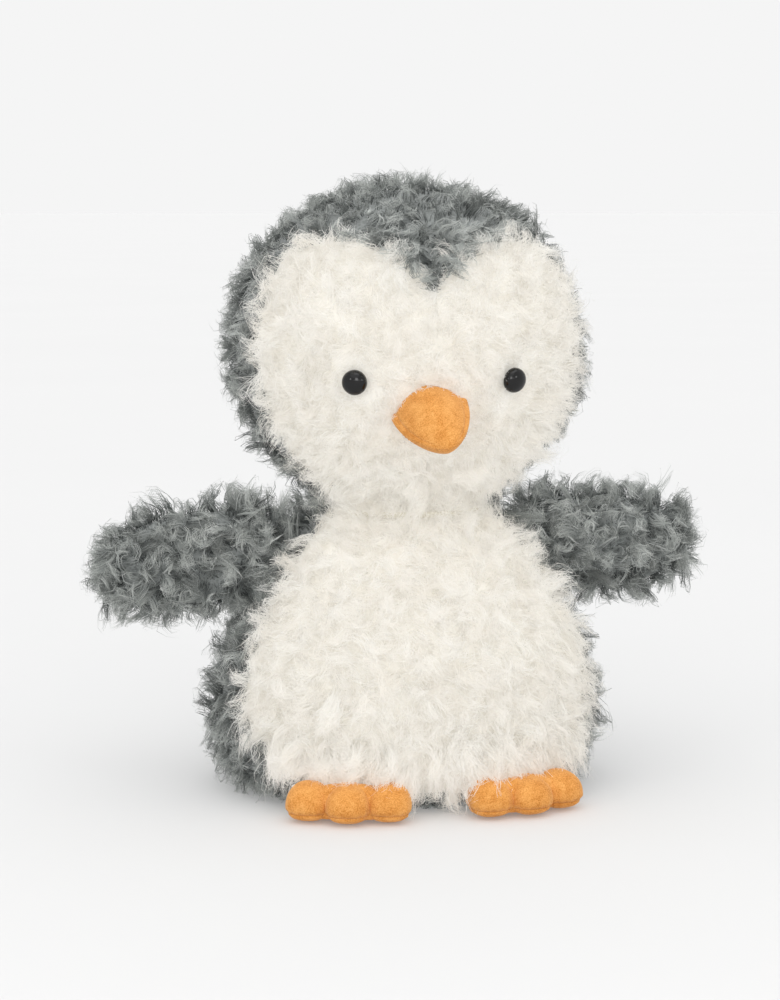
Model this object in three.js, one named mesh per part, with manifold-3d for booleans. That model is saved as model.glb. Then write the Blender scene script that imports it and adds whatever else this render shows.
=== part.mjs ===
// Plush penguin: a standing stuffed toy in long curly pile, in millimetres, +Z up.
// The base panel rests on the ground plane, the face looks along -Y, and the penguin's own left is +X.
// Every fabric panel is drawn as its backing with the pile pressed flat, so the free pile stands proud of it.
import * as THREE from 'three';
import { ConvexGeometry } from 'three/addons/geometries/ConvexGeometry.js';
import { mergeVertices } from 'three/addons/utils/BufferGeometryUtils.js';
import Module from 'manifold-3d';

const wasm = await Module();
wasm.setup();

// ---- driving dimensions, millimetres and degrees -------------------------------------------------
const GAP = 0.3;                 // between sewn or touching pieces
const MOVING_GAP = 0.6;          // between pieces that move past each other

const PANEL_THICKNESS = 2.5;     // curly pile fabric of the head and the torso, pile pressed flat
const WING_PANEL_THICKNESS = 1.8;
const SUEDE_THICKNESS = 1.2;     // short suedette of the feet and the beak

const HEAD_FORWARD = 1;           // the head's centre in front of the torso's
const HEAD_SINK = 2;             // the closed head form reaches this far below the neck pivot
const HEAD_HALF_WIDTH = 50.5;
const HEAD_HALF_DEPTH = 46.5;
const HEAD_HALF_HEIGHT = 46.5;
const HEAD_FULLNESS = 2.1;       // superellipse power: 2 is a plain ellipse, more is squarer

const TORSO_HALF_WIDTH = 55.5;
const TORSO_HALF_DEPTH = 46.5;
const TORSO_WIDEST_Z = 27;
const TORSO_RISE = 60;           // from the widest level up to the closed top of the profile
const TORSO_DROP = 32;           // from the widest level down, before the base cuts it flat
const TORSO_UPPER_FULLNESS = 2.1;
const TORSO_LOWER_FULLNESS = 3.5;

const SIDE_SEAM_SHARE = 0.92;    // where the front panels end, as a share of the local half width
const BASE_SEAM_Z = 5.5;
const TUMMY_TUCK = 0.33;         // how far the tummy panel narrows at the base seam
const TUMMY_TUCK_HEIGHT = 20;

const FACE_LOBE = { x: 22.5, rise: 10, halfWidth: 24, halfHeight: 20.5 };  // rise is from the head's centre

const NECK_SINK = 2.5;           // the neck pivot below the closed top of the torso's profile
const NECK_BALL_RADIUS = 17;
const HEAD_BASE_RISE = 5.5;      // the head's flat underside above the neck pivot
const TORSO_TOP_DROP = 4;        // the torso's flat top below the neck pivot
const NECK_THREAD_RADIUS = 22;
const THREAD_RADIUS = 0.9;

const EYE = { x: 22.2, drop: 7.5, domeRadius: 3.7, domeHeight: 2.6 };  // drop is from the head's centre
const EYE_STEM_RADIUS = 1.4;
const EYE_STEM_LENGTH = 7;
const EYE_WASHER_RADIUS = 5;
const EYE_WASHER_THICKNESS = 1.2;
const EYE_WASHER_SINK = 1.3;     // below the curved lining, so that the flat disc clears it

const BEAK_DROP = 17.7;          // from the head's centre
const BEAK_HALF_WIDTH = 10.8;
const BEAK_HALF_HEIGHT = 7.8;
const BEAK_LENGTH = 16;          // from the face to the tip
const BEAK_ROOT = 8;             // length drawn inside the head and cut away by it
const BEAK_DROOP = 28;
const BEAK_SEAM_RISE = 1.2;      // from the beak's axis to the seam between its panels
const BEAK_X = -1.7;             // the hand-sewn beak sits a little aside and askew
const BEAK_ROLL = -14;

const WING_DROP = 14.5;          // the wing's pivot below the neck pivot
const WING_STAND_OFF = 3;        // the wing's pivot outside the torso's surface
const WING_LENGTH = 44.5;        // from the pivot to the tip
const WING_ROOT = 4;             // from the pivot to the cut root, inwards
const WING_HALF_WIDTH = 14.5;
const WING_FLATNESS = 0.62;      // thickness over width
const WING_WIDEST = 20;          // from the pivot
const WING_TIP_FULLNESS = 2.4;
const WING_ROOT_TAPER = 46;      // distance over which the wing would narrow to nothing inwards
const WING_SWEEP = 8;            // backwards
const WING_DROOP = { right: 8, left: 2 };
const WING_FLAP = [-25, 30];     // downwards and upwards from rest
const WING_SWING = [-20, 20];    // forwards and backwards from rest
const WING_ROOT_BALL_RADIUS = 4.8;

const FOOT_X = 23.5;
const FOOT_PIVOT_Z = 4;
const FOOT_STAND_OFF = 4;        // the foot's pivot in front of the torso's surface
const FOOT_TURN_OUT = 15;
const FOOT_LIFT = 25;
const TOE_RADIUS = 6.4;
const TOE_HALF_HEIGHT = 6.2;
const TOE_CENTRE_Z = 5.8;
const TOE_SPACING = 11.8;
const TOE_FAN = 9;               // each outer toe turns this far from the middle one
const MIDDLE_TOE_REACH = 15.5;   // from the pivot to the toe's tip
const OUTER_TOE_REACH = 12;
const FOOT_PAD = { halfWidth: 17, halfLength: 12, halfHeight: 5.4, z: 4.4 };
const SOLE_SEAM_Z = 2.8;
const TOE_THREAD_RADIUS = 0.45;

const POUCH = { y: 2, halfWidth: 30, halfDepth: 24, halfHeight: 10.5, wall: 0.8, mouthRadius: 4 };

const LABEL = { width: 13, height: 17, thickness: 0.6, standOff: 5, topZ: 26 };
const CLOSING_STITCH_HALF_ANGLE = 18;
const CLOSING_STITCH_RADIUS = 0.5;

const LONG = 300;                // longer than the whole toy, for cutting solids

const NECK_PIVOT_Z = TORSO_WIDEST_Z + TORSO_RISE - NECK_SINK;
const HEAD_CENTRE = { y: -HEAD_FORWARD, z: NECK_PIVOT_Z + HEAD_HALF_HEIGHT - HEAD_SINK };
const HEAD_BASE_Z = NECK_PIVOT_Z + HEAD_BASE_RISE;
const TORSO_TOP_Z = NECK_PIVOT_Z - TORSO_TOP_DROP;
const EYE_Z = HEAD_CENTRE.z - EYE.drop;
const BEAK_BASE_Z = HEAD_CENTRE.z - BEAK_DROP;
const FACE_LOBE_Z = HEAD_CENTRE.z + FACE_LOBE.rise;

// ---- materials -----------------------------------------------------------------------------------
const cloth = (color) => new THREE.MeshStandardMaterial({ color, roughness: 0.95, metalness: 0 });
const greyPile = cloth(0x7d8284);
const creamPile = cloth(0xefece2);
const orangeSuede = cloth(0xf0a555);
const fibreFill = cloth(0xf4f4f2);
const cottonCloth = cloth(0xe6e2d8);
const satinRibbon = cloth(0xf7f6f2);
const polyesterThread = cloth(0xd9d6cc);
const orangeThread = cloth(0xc98433);
const blackGloss = new THREE.MeshStandardMaterial({ color: 0x080808, roughness: 0.12, metalness: 0 });
const whitePlastic = new THREE.MeshStandardMaterial({ color: 0xe9e9e6, roughness: 0.6, metalness: 0 });
const plasticPellets = new THREE.MeshStandardMaterial({ color: 0xdfe2e4, roughness: 0.5, metalness: 0 });

const penguin = new THREE.Group();

// ---- solids --------------------------------------------------------------------------------------
const radians = THREE.MathUtils.degToRad;

/** A closed three.js geometry as a solid that can be joined and cut. */
function solidOf(geometry) {
  const bare = geometry.clone();
  bare.deleteAttribute('normal');
  bare.deleteAttribute('uv');
  const merged = mergeVertices(bare, 1e-4);
  const corners = merged.index.array;
  const triangles = [];
  for (let i = 0; i < corners.length; i += 3) {
    const [a, b, c] = corners.slice(i, i + 3);
    if (a !== b && b !== c && c !== a) triangles.push(a, b, c);
  }
  return new wasm.Manifold(new wasm.Mesh({
    numProp: 3,
    vertProperties: new Float32Array(merged.attributes.position.array),
    triVerts: new Uint32Array(triangles),
  }));
}

/** A solid as a three.js geometry. */
function geometryOf(solid) {
  const { vertProperties, triVerts } = solid.getMesh();
  const geometry = new THREE.BufferGeometry();
  geometry.setAttribute('position', new THREE.BufferAttribute(vertProperties, 3));
  geometry.setIndex(new THREE.BufferAttribute(triVerts, 1));
  return geometry;
}

function addNode(name, solid, material) {
  const mesh = new THREE.Mesh(geometryOf(solid), material);
  mesh.name = name;
  penguin.add(mesh);
}

const moved = (geometry, matrix) => geometry.clone().applyMatrix4(matrix);
const translation = (x, y, z) => new THREE.Matrix4().makeTranslation(x, y, z);
const turn = (axis, degrees) => new THREE.Matrix4().makeRotationAxis(axis, radians(degrees));
const scaling = (x, y, z) => new THREE.Matrix4().makeScale(x, y, z);
const chain = (...matrices) => matrices.reduce((all, next) => all.multiply(next), new THREE.Matrix4());
const X_AXIS = new THREE.Vector3(1, 0, 0);
const Y_AXIS = new THREE.Vector3(0, 1, 0);
const Z_AXIS = new THREE.Vector3(0, 0, 1);
const Y_UP_TO_Z_UP = turn(X_AXIS, 90);

/** A box from one corner to the other. */
function box(low, high) {
  const size = new THREE.Vector3(...high).sub(new THREE.Vector3(...low));
  const centre = new THREE.Vector3(...low).add(new THREE.Vector3(...high)).multiplyScalar(0.5);
  const geometry = new THREE.BoxGeometry(size.x, size.y, size.z);
  return solidOf(geometry.translate(centre.x, centre.y, centre.z));
}

const below = (z) => box([-LONG, -LONG, -LONG], [LONG, LONG, z]);
const above = (z) => box([-LONG, -LONG, z], [LONG, LONG, LONG]);
const inFrontOf = (y) => box([-LONG, -LONG, -LONG], [LONG, y, LONG]);
const sideOf = (side, gap) => (side > 0
  ? box([gap / 2, -LONG, -LONG], [LONG, LONG, LONG])
  : box([-LONG, -LONG, -LONG], [-gap / 2, LONG, LONG]));

/** An upright turned form from a profile of [radius, height] pairs, bottom to top, squashed in depth. */
function turned(profile, segments, depthShare) {
  const points = profile.map(([radius, height]) => new THREE.Vector2(radius, height));
  const geometry = new THREE.LatheGeometry(points, segments);
  return moved(geometry, chain(scaling(1, depthShare, 1), Y_UP_TO_Z_UP));
}

/** One quarter of a superellipse, [radius, rise] from the rim to the pole. */
function quarter(radius, rise, fullness, steps) {
  const curve = [];
  for (let i = 0; i <= steps; i += 1) {
    const angle = (Math.PI / 2) * (i / steps);
    const out = i === steps ? 0 : radius * Math.cos(angle) ** (2 / fullness);
    curve.push([out, rise * Math.sin(angle) ** (2 / fullness)]);
  }
  return curve;
}

/** A closed egg profile about a level z, shrunk by inset all round. */
function eggProfile({ radius, z, rise, drop, upper, lower, steps }, inset) {
  const top = quarter(radius - inset, rise - inset, upper, steps);
  const bottom = quarter(radius - inset, drop - inset, lower, steps).slice(1).reverse();
  return [
    ...bottom.map(([out, down]) => [out, z - down]),
    ...top.map(([out, up]) => [out, z + up]),
  ];
}

/** The egg's half width at a height. */
function eggRadius({ radius, z, rise, drop, upper, lower }, height) {
  const up = height > z;
  const share = Math.min(1, Math.abs(height - z) / (up ? rise : drop));
  const fullness = up ? upper : lower;
  return radius * (1 - share ** fullness) ** (1 / fullness);
}

/** A straight prism along Y with an outline of [x, z] pairs, from one y to another. */
function prism(outline, fromY, toY) {
  const shape = new THREE.Shape(outline.map(([x, z]) => new THREE.Vector2(x, z)));
  const geometry = new THREE.ExtrudeGeometry(shape, { depth: toY - fromY, bevelEnabled: false });
  return solidOf(moved(geometry, chain(translation(0, toY, 0), Y_UP_TO_Z_UP)));
}

function ball(radius, place, across = 20, along = 12) {
  return solidOf(moved(new THREE.SphereGeometry(radius, across, along), place));
}

/** A round bar along +Y of its own frame, starting at the origin, placed by a matrix. */
function bar(radius, length, place, segments = 16) {
  const geometry = new THREE.CylinderGeometry(radius, radius, length, segments);
  return solidOf(moved(geometry, chain(place, translation(0, length / 2, 0))));
}

/** A thread laid along a list of points. */
function thread(points, radius) {
  const path = new THREE.CatmullRomCurve3(points.map((p) => new THREE.Vector3(...p)));
  const section = new THREE.Shape();
  section.absarc(0, 0, radius, 0, 2 * Math.PI);
  const options = { steps: 2 * points.length, curveSegments: 3, bevelEnabled: false, extrudePath: path };
  return solidOf(new THREE.ExtrudeGeometry(section, options));
}

/** The convex room that a piece sweeps through, from copies of its surface at several placings. */
function sweptRoom(geometry, placings) {
  const points = [];
  const corners = geometry.attributes.position;
  for (const placing of placings) {
    for (let i = 0; i < corners.count; i += 1) {
      points.push(new THREE.Vector3().fromBufferAttribute(corners, i).applyMatrix4(placing));
    }
  }
  return solidOf(new ConvexGeometry(points));
}

// ---- head and torso forms ------------------------------------------------------------------------
const HEAD = {
  radius: HEAD_HALF_WIDTH,
  z: 0,
  rise: HEAD_HALF_HEIGHT,
  drop: HEAD_HALF_HEIGHT,
  upper: HEAD_FULLNESS,
  lower: HEAD_FULLNESS,
  steps: 5,
};
const TORSO = {
  radius: TORSO_HALF_WIDTH,
  z: TORSO_WIDEST_Z,
  rise: TORSO_RISE,
  drop: TORSO_DROP,
  upper: TORSO_UPPER_FULLNESS,
  lower: TORSO_LOWER_FULLNESS,
  steps: 5,
};
const ROUND_SEGMENTS = 24;
const TORSO_DEPTH_SHARE = TORSO_HALF_DEPTH / TORSO_HALF_WIDTH;

const WING_PIVOT_Z = NECK_PIVOT_Z - WING_DROP;
const WING_PIVOT = { x: eggRadius(TORSO, WING_PIVOT_Z) + WING_STAND_OFF, z: WING_PIVOT_Z };
const footLevel = eggRadius(TORSO, FOOT_PIVOT_Z);
const footBack = TORSO_DEPTH_SHARE * Math.sqrt(footLevel ** 2 - FOOT_X ** 2);
const FOOT_PIVOT = { x: FOOT_X, y: -footBack - FOOT_STAND_OFF, z: FOOT_PIVOT_Z };

function headForm(inset) {
  const depthShare = (HEAD_HALF_DEPTH - inset) / (HEAD_HALF_WIDTH - inset);
  const form = turned(eggProfile(HEAD, inset), ROUND_SEGMENTS, depthShare);
  return solidOf(form.translate(0, HEAD_CENTRE.y, HEAD_CENTRE.z)).subtract(below(HEAD_BASE_Z));
}

function torsoForm(inset) {
  const depthShare = (TORSO_HALF_DEPTH - inset) / (TORSO_HALF_WIDTH - inset);
  const form = turned(eggProfile(TORSO, inset), ROUND_SEGMENTS, depthShare);
  return solidOf(form).subtract(below(inset)).subtract(above(TORSO_TOP_Z));
}

/** Mirrors a right-hand outline of [x, z] pairs, top to bottom, into a closed symmetric one. */
function symmetric(rightSide) {
  const leftSide = rightSide.map(([x, z]) => [-x, z]).reverse();
  return [...rightSide, ...leftSide.filter(([x]) => x !== 0)];
}

/** The face panel's outline in front view: two lobes, a peak between them and the side seams. */
function faceOutline(grow) {
  const lobeWidth = FACE_LOBE.halfWidth + grow;
  const lobeHeight = FACE_LOBE.halfHeight + grow;
  const peakAngle = Math.acos(-FACE_LOBE.x / lobeWidth);
  const seam = (z) => SIDE_SEAM_SHARE * eggRadius(HEAD, z - HEAD_CENTRE.z) + grow;
  const lobeSteps = 7;
  const lobe = [];
  for (let i = 0; i <= lobeSteps; i += 1) {
    const angle = peakAngle * (1 - i / lobeSteps);
    const x = i === 0 ? 0 : FACE_LOBE.x + lobeWidth * Math.cos(angle);
    const z = FACE_LOBE_Z + lobeHeight * Math.sin(angle);
    if (x < seam(z)) lobe.push([x, z]);
  }
  const bottom = HEAD_CENTRE.z - HEAD_HALF_HEIGHT + 1;
  const top = lobe[lobe.length - 1][1] - 3;
  const sideSteps = 5;
  const side = [];
  for (let i = 0; i <= sideSteps; i += 1) {
    const z = top + (bottom - top) * (i / sideSteps);
    side.push([seam(z), z]);
  }
  return symmetric([...lobe, ...side]);
}

/** The tummy panel's outline in front view: the side seams, tucked in towards the base seam. */
function tummyOutline(grow) {
  const steps = 9;
  const bottom = BASE_SEAM_Z - grow;
  const side = [];
  for (let i = 0; i <= steps; i += 1) {
    const z = TORSO_TOP_Z + 1 + (bottom - TORSO_TOP_Z - 1) * (i / steps);
    const rise = THREE.MathUtils.smoothstep(z, BASE_SEAM_Z, BASE_SEAM_Z + TUMMY_TUCK_HEIGHT);
    const share = SIDE_SEAM_SHARE * (1 - TUMMY_TUCK * (1 - rise));
    side.push([share * eggRadius(TORSO, z) + grow, z]);
  }
  return symmetric(side);
}

// ---- the room that the neck, the wings and the feet move in --------------------------------------
const neckPlace = translation(0, 0, NECK_PIVOT_Z);
const neckBallRoom = ball(NECK_BALL_RADIUS + MOVING_GAP, neckPlace, 18, 10);

/** The wing's turned profile along its own length, shrunk by inset. */
function wingProfile(inset) {
  const reach = WING_LENGTH - WING_WIDEST - inset;
  const width = WING_HALF_WIDTH - inset;
  const tip = quarter(width, reach, WING_TIP_FULLNESS, 5).map(([out, up]) => [out, WING_WIDEST + up]);
  const root = [];
  for (let i = 2; i >= 1; i -= 1) {
    const inwards = ((WING_WIDEST + WING_ROOT) * i) / 2;
    root.push([width * Math.sqrt(1 - (inwards / WING_ROOT_TAPER) ** 2), WING_WIDEST - inwards]);
  }
  return [[0, -WING_ROOT], ...root, ...tip];
}

/** The wing lying along +X of its own frame, wide in Z and thin in Y, with its pivot at the origin. */
function wingForm(inset) {
  const points = wingProfile(inset).map(([radius, along]) => new THREE.Vector2(radius, along));
  const thickness = WING_FLATNESS * WING_HALF_WIDTH - inset;
  const flat = scaling(1, thickness / (WING_HALF_WIDTH - inset), 1);
  return moved(new THREE.LatheGeometry(points, 12), chain(flat, turn(Z_AXIS, -90)));
}

/** Where a wing is: side is 1 for the penguin's left and -1 for its right. */
function wingPlacing(side, flap = 0, swing = 0) {
  const droop = side > 0 ? WING_DROOP.left : WING_DROOP.right;
  const outwards = side > 0 ? new THREE.Matrix4() : turn(Z_AXIS, 180);
  return chain(
    translation(side * WING_PIVOT.x, 0, WING_PIVOT.z),
    turn(Z_AXIS, side * swing),
    turn(Y_AXIS, -side * flap),
    turn(Z_AXIS, side * WING_SWEEP),
    turn(Y_AXIS, side * droop),
    outwards,
  );
}

function wingRoom(side) {
  const placings = [];
  for (const flap of [WING_FLAP[0], 0, WING_FLAP[1]]) {
    for (const swing of [WING_SWING[0], 0, WING_SWING[1]]) placings.push(wingPlacing(side, flap, swing));
  }
  return sweptRoom(wingForm(-MOVING_GAP), placings);
}

/** One toe of the foot's own frame: a stubby capsule along -Y with its tip at a reach. */
function toe(x, reach, fan, inset) {
  const radius = TOE_RADIUS - inset;
  const height = TOE_HALF_HEIGHT - inset;
  const capsule = new THREE.CapsuleGeometry(radius, reach, 3, 8);
  const place = chain(
    turn(Z_AXIS, fan),
    translation(x, radius + inset - reach / 2, TOE_CENTRE_Z),
    scaling(1, 1, height / radius),
  );
  return solidOf(moved(capsule, place));
}

/** The foot's outer form in its own frame: three toes and the pad that joins them, cut at the heel. */
function footForm(inset) {
  const middle = toe(0, MIDDLE_TOE_REACH, 0, inset);
  const sides = [-1, 1].map((side) => toe(side * TOE_SPACING, OUTER_TOE_REACH, side * TOE_FAN, inset));
  const pad = ball(1, chain(
    translation(0, -1, FOOT_PAD.z),
    scaling(FOOT_PAD.halfWidth - inset, FOOT_PAD.halfLength - inset, FOOT_PAD.halfHeight - inset),
  ), 14, 8);
  return middle.add(sides[0]).add(sides[1]).add(pad)
    .intersect(inFrontOf(-MOVING_GAP - inset))
    .subtract(below(inset));
}

function footPlacing(side, lift = 0) {
  return chain(
    translation(side * FOOT_PIVOT.x, FOOT_PIVOT.y, 0),
    turn(Z_AXIS, side * FOOT_TURN_OUT),
    translation(0, 0, FOOT_PIVOT.z),
    turn(X_AXIS, -lift),
    translation(0, 0, -FOOT_PIVOT.z),
  );
}

function footRoom(side) {
  const placings = [0, FOOT_LIFT / 2, FOOT_LIFT].map((lift) => footPlacing(side, lift));
  return sweptRoom(geometryOf(footForm(-MOVING_GAP)), placings);
}

// ---- head ----------------------------------------------------------------------------------------
const headOuter = headForm(0);
const headLining = headForm(PANEL_THICKNESS);
const headShell = headOuter.subtract(headLining).subtract(neckBallRoom);
const faceCut = prism(faceOutline(0), -LONG, HEAD_CENTRE.y);
const faceCutWide = prism(faceOutline(GAP), -LONG, HEAD_CENTRE.y + GAP);

/** Where an eye's stem axis leaves the face, and the matrix that turns +Y into that axis. */
function eyePlacing(side) {
  const dz = EYE_Z - HEAD_CENTRE.z;
  const flat = 1 - (EYE.x / HEAD_HALF_WIDTH) ** 2 - (dz / HEAD_HALF_HEIGHT) ** 2;
  const y = -HEAD_HALF_DEPTH * Math.sqrt(flat);
  const outwards = new THREE.Vector3(
    (side * EYE.x) / HEAD_HALF_WIDTH ** 2,
    y / HEAD_HALF_DEPTH ** 2,
    dz / HEAD_HALF_HEIGHT ** 2,
  ).normalize();
  const turnToAxis = new THREE.Quaternion().setFromUnitVectors(Y_AXIS, outwards);
  const place = new THREE.Matrix4().makeRotationFromQuaternion(turnToAxis);
  return place.setPosition(side * EYE.x, HEAD_CENTRE.y + y, EYE_Z);
}

function eyeSolid(side) {
  const face = chain(eyePlacing(side), translation(0, 2 * GAP, 0));
  const dome = ball(1, chain(face, scaling(EYE.domeRadius, EYE.domeHeight, EYE.domeRadius)), 14, 8);
  const front = bar(EYE.domeRadius + 1, EYE.domeHeight + 1, face);
  const stemPlace = chain(face, translation(0, GAP - EYE_STEM_LENGTH, 0));
  const stem = bar(EYE_STEM_RADIUS, EYE_STEM_LENGTH, stemPlace, 10);
  return dome.intersect(front).add(stem);
}

/** A disc under the face panel: the eye's washer, or with a margin the open pocket that holds it. */
function washerSolid(side, margin = 0) {
  const depth = -PANEL_THICKNESS - EYE_WASHER_SINK - EYE_WASHER_THICKNESS;
  const place = chain(eyePlacing(side), translation(0, depth - margin, 0));
  const height = margin > 0 ? EYE_STEM_LENGTH : EYE_WASHER_THICKNESS;
  return bar(EYE_WASHER_RADIUS + margin, height, place, 14);
}

function stemHole(side, radius) {
  const place = chain(eyePlacing(side), translation(0, -1.5 * EYE_STEM_LENGTH, 0));
  return bar(radius, 2 * EYE_STEM_LENGTH, place, 10);
}

const SIDES = [{ side: 1, own: 'left' }, { side: -1, own: 'right' }];

let headFill = headForm(PANEL_THICKNESS + GAP).subtract(neckBallRoom);
for (const { side, own } of SIDES) {
  const half = sideOf(side, GAP);
  const hole = stemHole(side, EYE_STEM_RADIUS + GAP);
  const washerHole = stemHole(side, EYE_STEM_RADIUS + GAP / 2);
  addNode(`hood_panel_${own}`, headShell.subtract(faceCutWide).intersect(half), greyPile);
  addNode(`face_panel_${own}`, headShell.intersect(faceCut).intersect(half).subtract(hole), creamPile);
  addNode(`eye_${own}`, eyeSolid(side), blackGloss);
  addNode(`eye_washer_${own}`, washerSolid(side).subtract(washerHole), whitePlastic);
  headFill = headFill.subtract(washerSolid(side, GAP)).subtract(hole);
}
addNode('head_fill', headFill, fibreFill);

// ---- beak ----------------------------------------------------------------------------------------
/** The beak as a rounded elliptical cone along -Y of its own frame, shrunk by inset. */
function beakForm(inset) {
  const length = BEAK_LENGTH + BEAK_ROOT;
  const cone = [[0, -BEAK_ROOT], [BEAK_HALF_WIDTH - inset, -BEAK_ROOT]];
  const steps = 6;
  for (let i = 1; i <= steps; i += 1) {
    const along = i / steps;
    const out = i === steps ? 0 : (BEAK_HALF_WIDTH - inset) * (1 - along ** 2.2) ** (1 / 1.5);
    cone.push([out, along * (length - inset) - BEAK_ROOT]);
  }
  const points = cone.map(([radius, height]) => new THREE.Vector2(radius, height));
  const flat = scaling(1, 1, (BEAK_HALF_HEIGHT - inset) / (BEAK_HALF_WIDTH - inset));
  const place = chain(
    translation(BEAK_X, HEAD_CENTRE.y - HEAD_HALF_DEPTH + 1, BEAK_BASE_Z),
    turn(X_AXIS, BEAK_DROOP),
    turn(Y_AXIS, BEAK_ROLL),
    flat,
    turn(X_AXIS, 180),
  );
  return solidOf(moved(new THREE.LatheGeometry(points, 16), place));
}

/** The half space above the seam between the beak's two panels. */
function aboveBeakSeam(lift) {
  const place = chain(
    translation(BEAK_X, HEAD_CENTRE.y - HEAD_HALF_DEPTH, BEAK_BASE_Z),
    turn(X_AXIS, BEAK_DROOP),
    turn(Y_AXIS, BEAK_ROLL),
    translation(0, 0, LONG / 2 + BEAK_SEAM_RISE + lift),
  );
  return solidOf(moved(new THREE.BoxGeometry(LONG, LONG, LONG), place));
}

const headWithGap = headForm(-GAP);
const beakShell = beakForm(0).subtract(headWithGap).subtract(beakForm(SUEDE_THICKNESS));
addNode('beak_upper', beakShell.intersect(aboveBeakSeam(GAP)), orangeSuede);
addNode('beak_lower', beakShell.subtract(aboveBeakSeam(0)), orangeSuede);
addNode('beak_fill', beakForm(SUEDE_THICKNESS + GAP).subtract(headWithGap), fibreFill);

// ---- neck ----------------------------------------------------------------------------------------
addNode('neck_fill', ball(NECK_BALL_RADIUS, neckPlace, 18, 10), fibreFill);

const ringPlace = translation(0, 0, TORSO_TOP_Z + THREAD_RADIUS + GAP);
const ring = moved(new THREE.TorusGeometry(NECK_THREAD_RADIUS, THREAD_RADIUS, 6, 28), ringPlace);
addNode('neck_thread', solidOf(ring), polyesterThread);

// ---- torso ---------------------------------------------------------------------------------------
const torsoOuter = torsoForm(0);
const torsoShell = torsoOuter.subtract(torsoForm(PANEL_THICKNESS));
const tummyCut = prism(tummyOutline(0), -LONG, 0);
const tummyCutWide = prism(tummyOutline(GAP), -LONG, GAP);
const limbRoom = SIDES
  .map(({ side }) => wingRoom(side).add(footRoom(side)))
  .reduce((all, next) => all.add(next));
const upperShell = torsoShell.subtract(below(BASE_SEAM_Z)).subtract(limbRoom).subtract(neckBallRoom);
addNode('tummy_panel', upperShell.intersect(tummyCut), creamPile);
for (const { side, own } of SIDES) {
  const half = sideOf(side, GAP);
  addNode(`back_panel_${own}`, upperShell.subtract(tummyCutWide).intersect(half), greyPile);
}
const lowerShell = torsoShell.intersect(below(BASE_SEAM_Z - GAP)).subtract(limbRoom);
addNode('base_panel', lowerShell, greyPile);

/** A flattened ball in the bottom of the torso, resting just above the base panel. */
function pouchForm(inset) {
  const z = PANEL_THICKNESS + 2 * GAP + POUCH.halfHeight;
  const size = [POUCH.halfWidth - inset, POUCH.halfDepth - inset, POUCH.halfHeight - inset];
  return ball(1, chain(translation(0, POUCH.y, z), scaling(...size)), 18, 8);
}

/** The pouch with the straight way below it, open at the bottom of the body's stuffing. */
function pouchRecess() {
  const z = PANEL_THICKNESS + 2 * GAP + POUCH.halfHeight;
  const size = [POUCH.halfWidth + GAP, 1, POUCH.halfDepth + GAP];
  const place = chain(translation(0, POUCH.y, 0), turn(X_AXIS, 90), scaling(...size));
  return pouchForm(-GAP).add(bar(1, z, place, 18));
}

const mouthPlace = chain(translation(0, POUCH.y, PANEL_THICKNESS + POUCH.halfHeight), Y_UP_TO_Z_UP);
const mouth = bar(POUCH.mouthRadius, LONG, mouthPlace, 12);
addNode('pellet_pouch', pouchForm(0).subtract(pouchForm(POUCH.wall)).subtract(mouth), cottonCloth);
addNode('pellet_charge', pouchForm(POUCH.wall + GAP), plasticPellets);
const bodyFill = torsoForm(PANEL_THICKNESS + GAP)
  .subtract(limbRoom).subtract(neckBallRoom).subtract(pouchRecess());
addNode('body_fill', bodyFill, fibreFill);

/** The hand-sewn closing of the seam between the back panels and the base, along the rear. */
function closingStitch() {
  const out = CLOSING_STITCH_RADIUS + GAP;
  const points = [];
  for (let i = -3; i <= 3; i += 1) {
    const angle = radians((CLOSING_STITCH_HALF_ANGLE * i) / 3);
    const wide = eggRadius(TORSO, BASE_SEAM_Z) + out;
    const deep = TORSO_DEPTH_SHARE * eggRadius(TORSO, BASE_SEAM_Z) + out;
    points.push([wide * Math.sin(angle), deep * Math.cos(angle), BASE_SEAM_Z]);
  }
  return thread(points, CLOSING_STITCH_RADIUS);
}
addNode('closing_stitch', closingStitch(), polyesterThread);

/** A folded ribbon label: a short tab from the centre back seam and the leaf that hangs from it. */
function careLabel() {
  const seamY = TORSO_DEPTH_SHARE * eggRadius(TORSO, LABEL.topZ) + GAP;
  const leafY = seamY + LABEL.standOff;
  const { width, height, thickness, topZ } = LABEL;
  const tab = box([-width / 2, seamY, topZ - thickness], [width / 2, leafY, topZ]);
  const leaf = box([-width / 2, leafY - thickness, topZ - height], [width / 2, leafY, topZ]);
  return tab.add(leaf);
}
addNode('care_label', careLabel(), satinRibbon);

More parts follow.
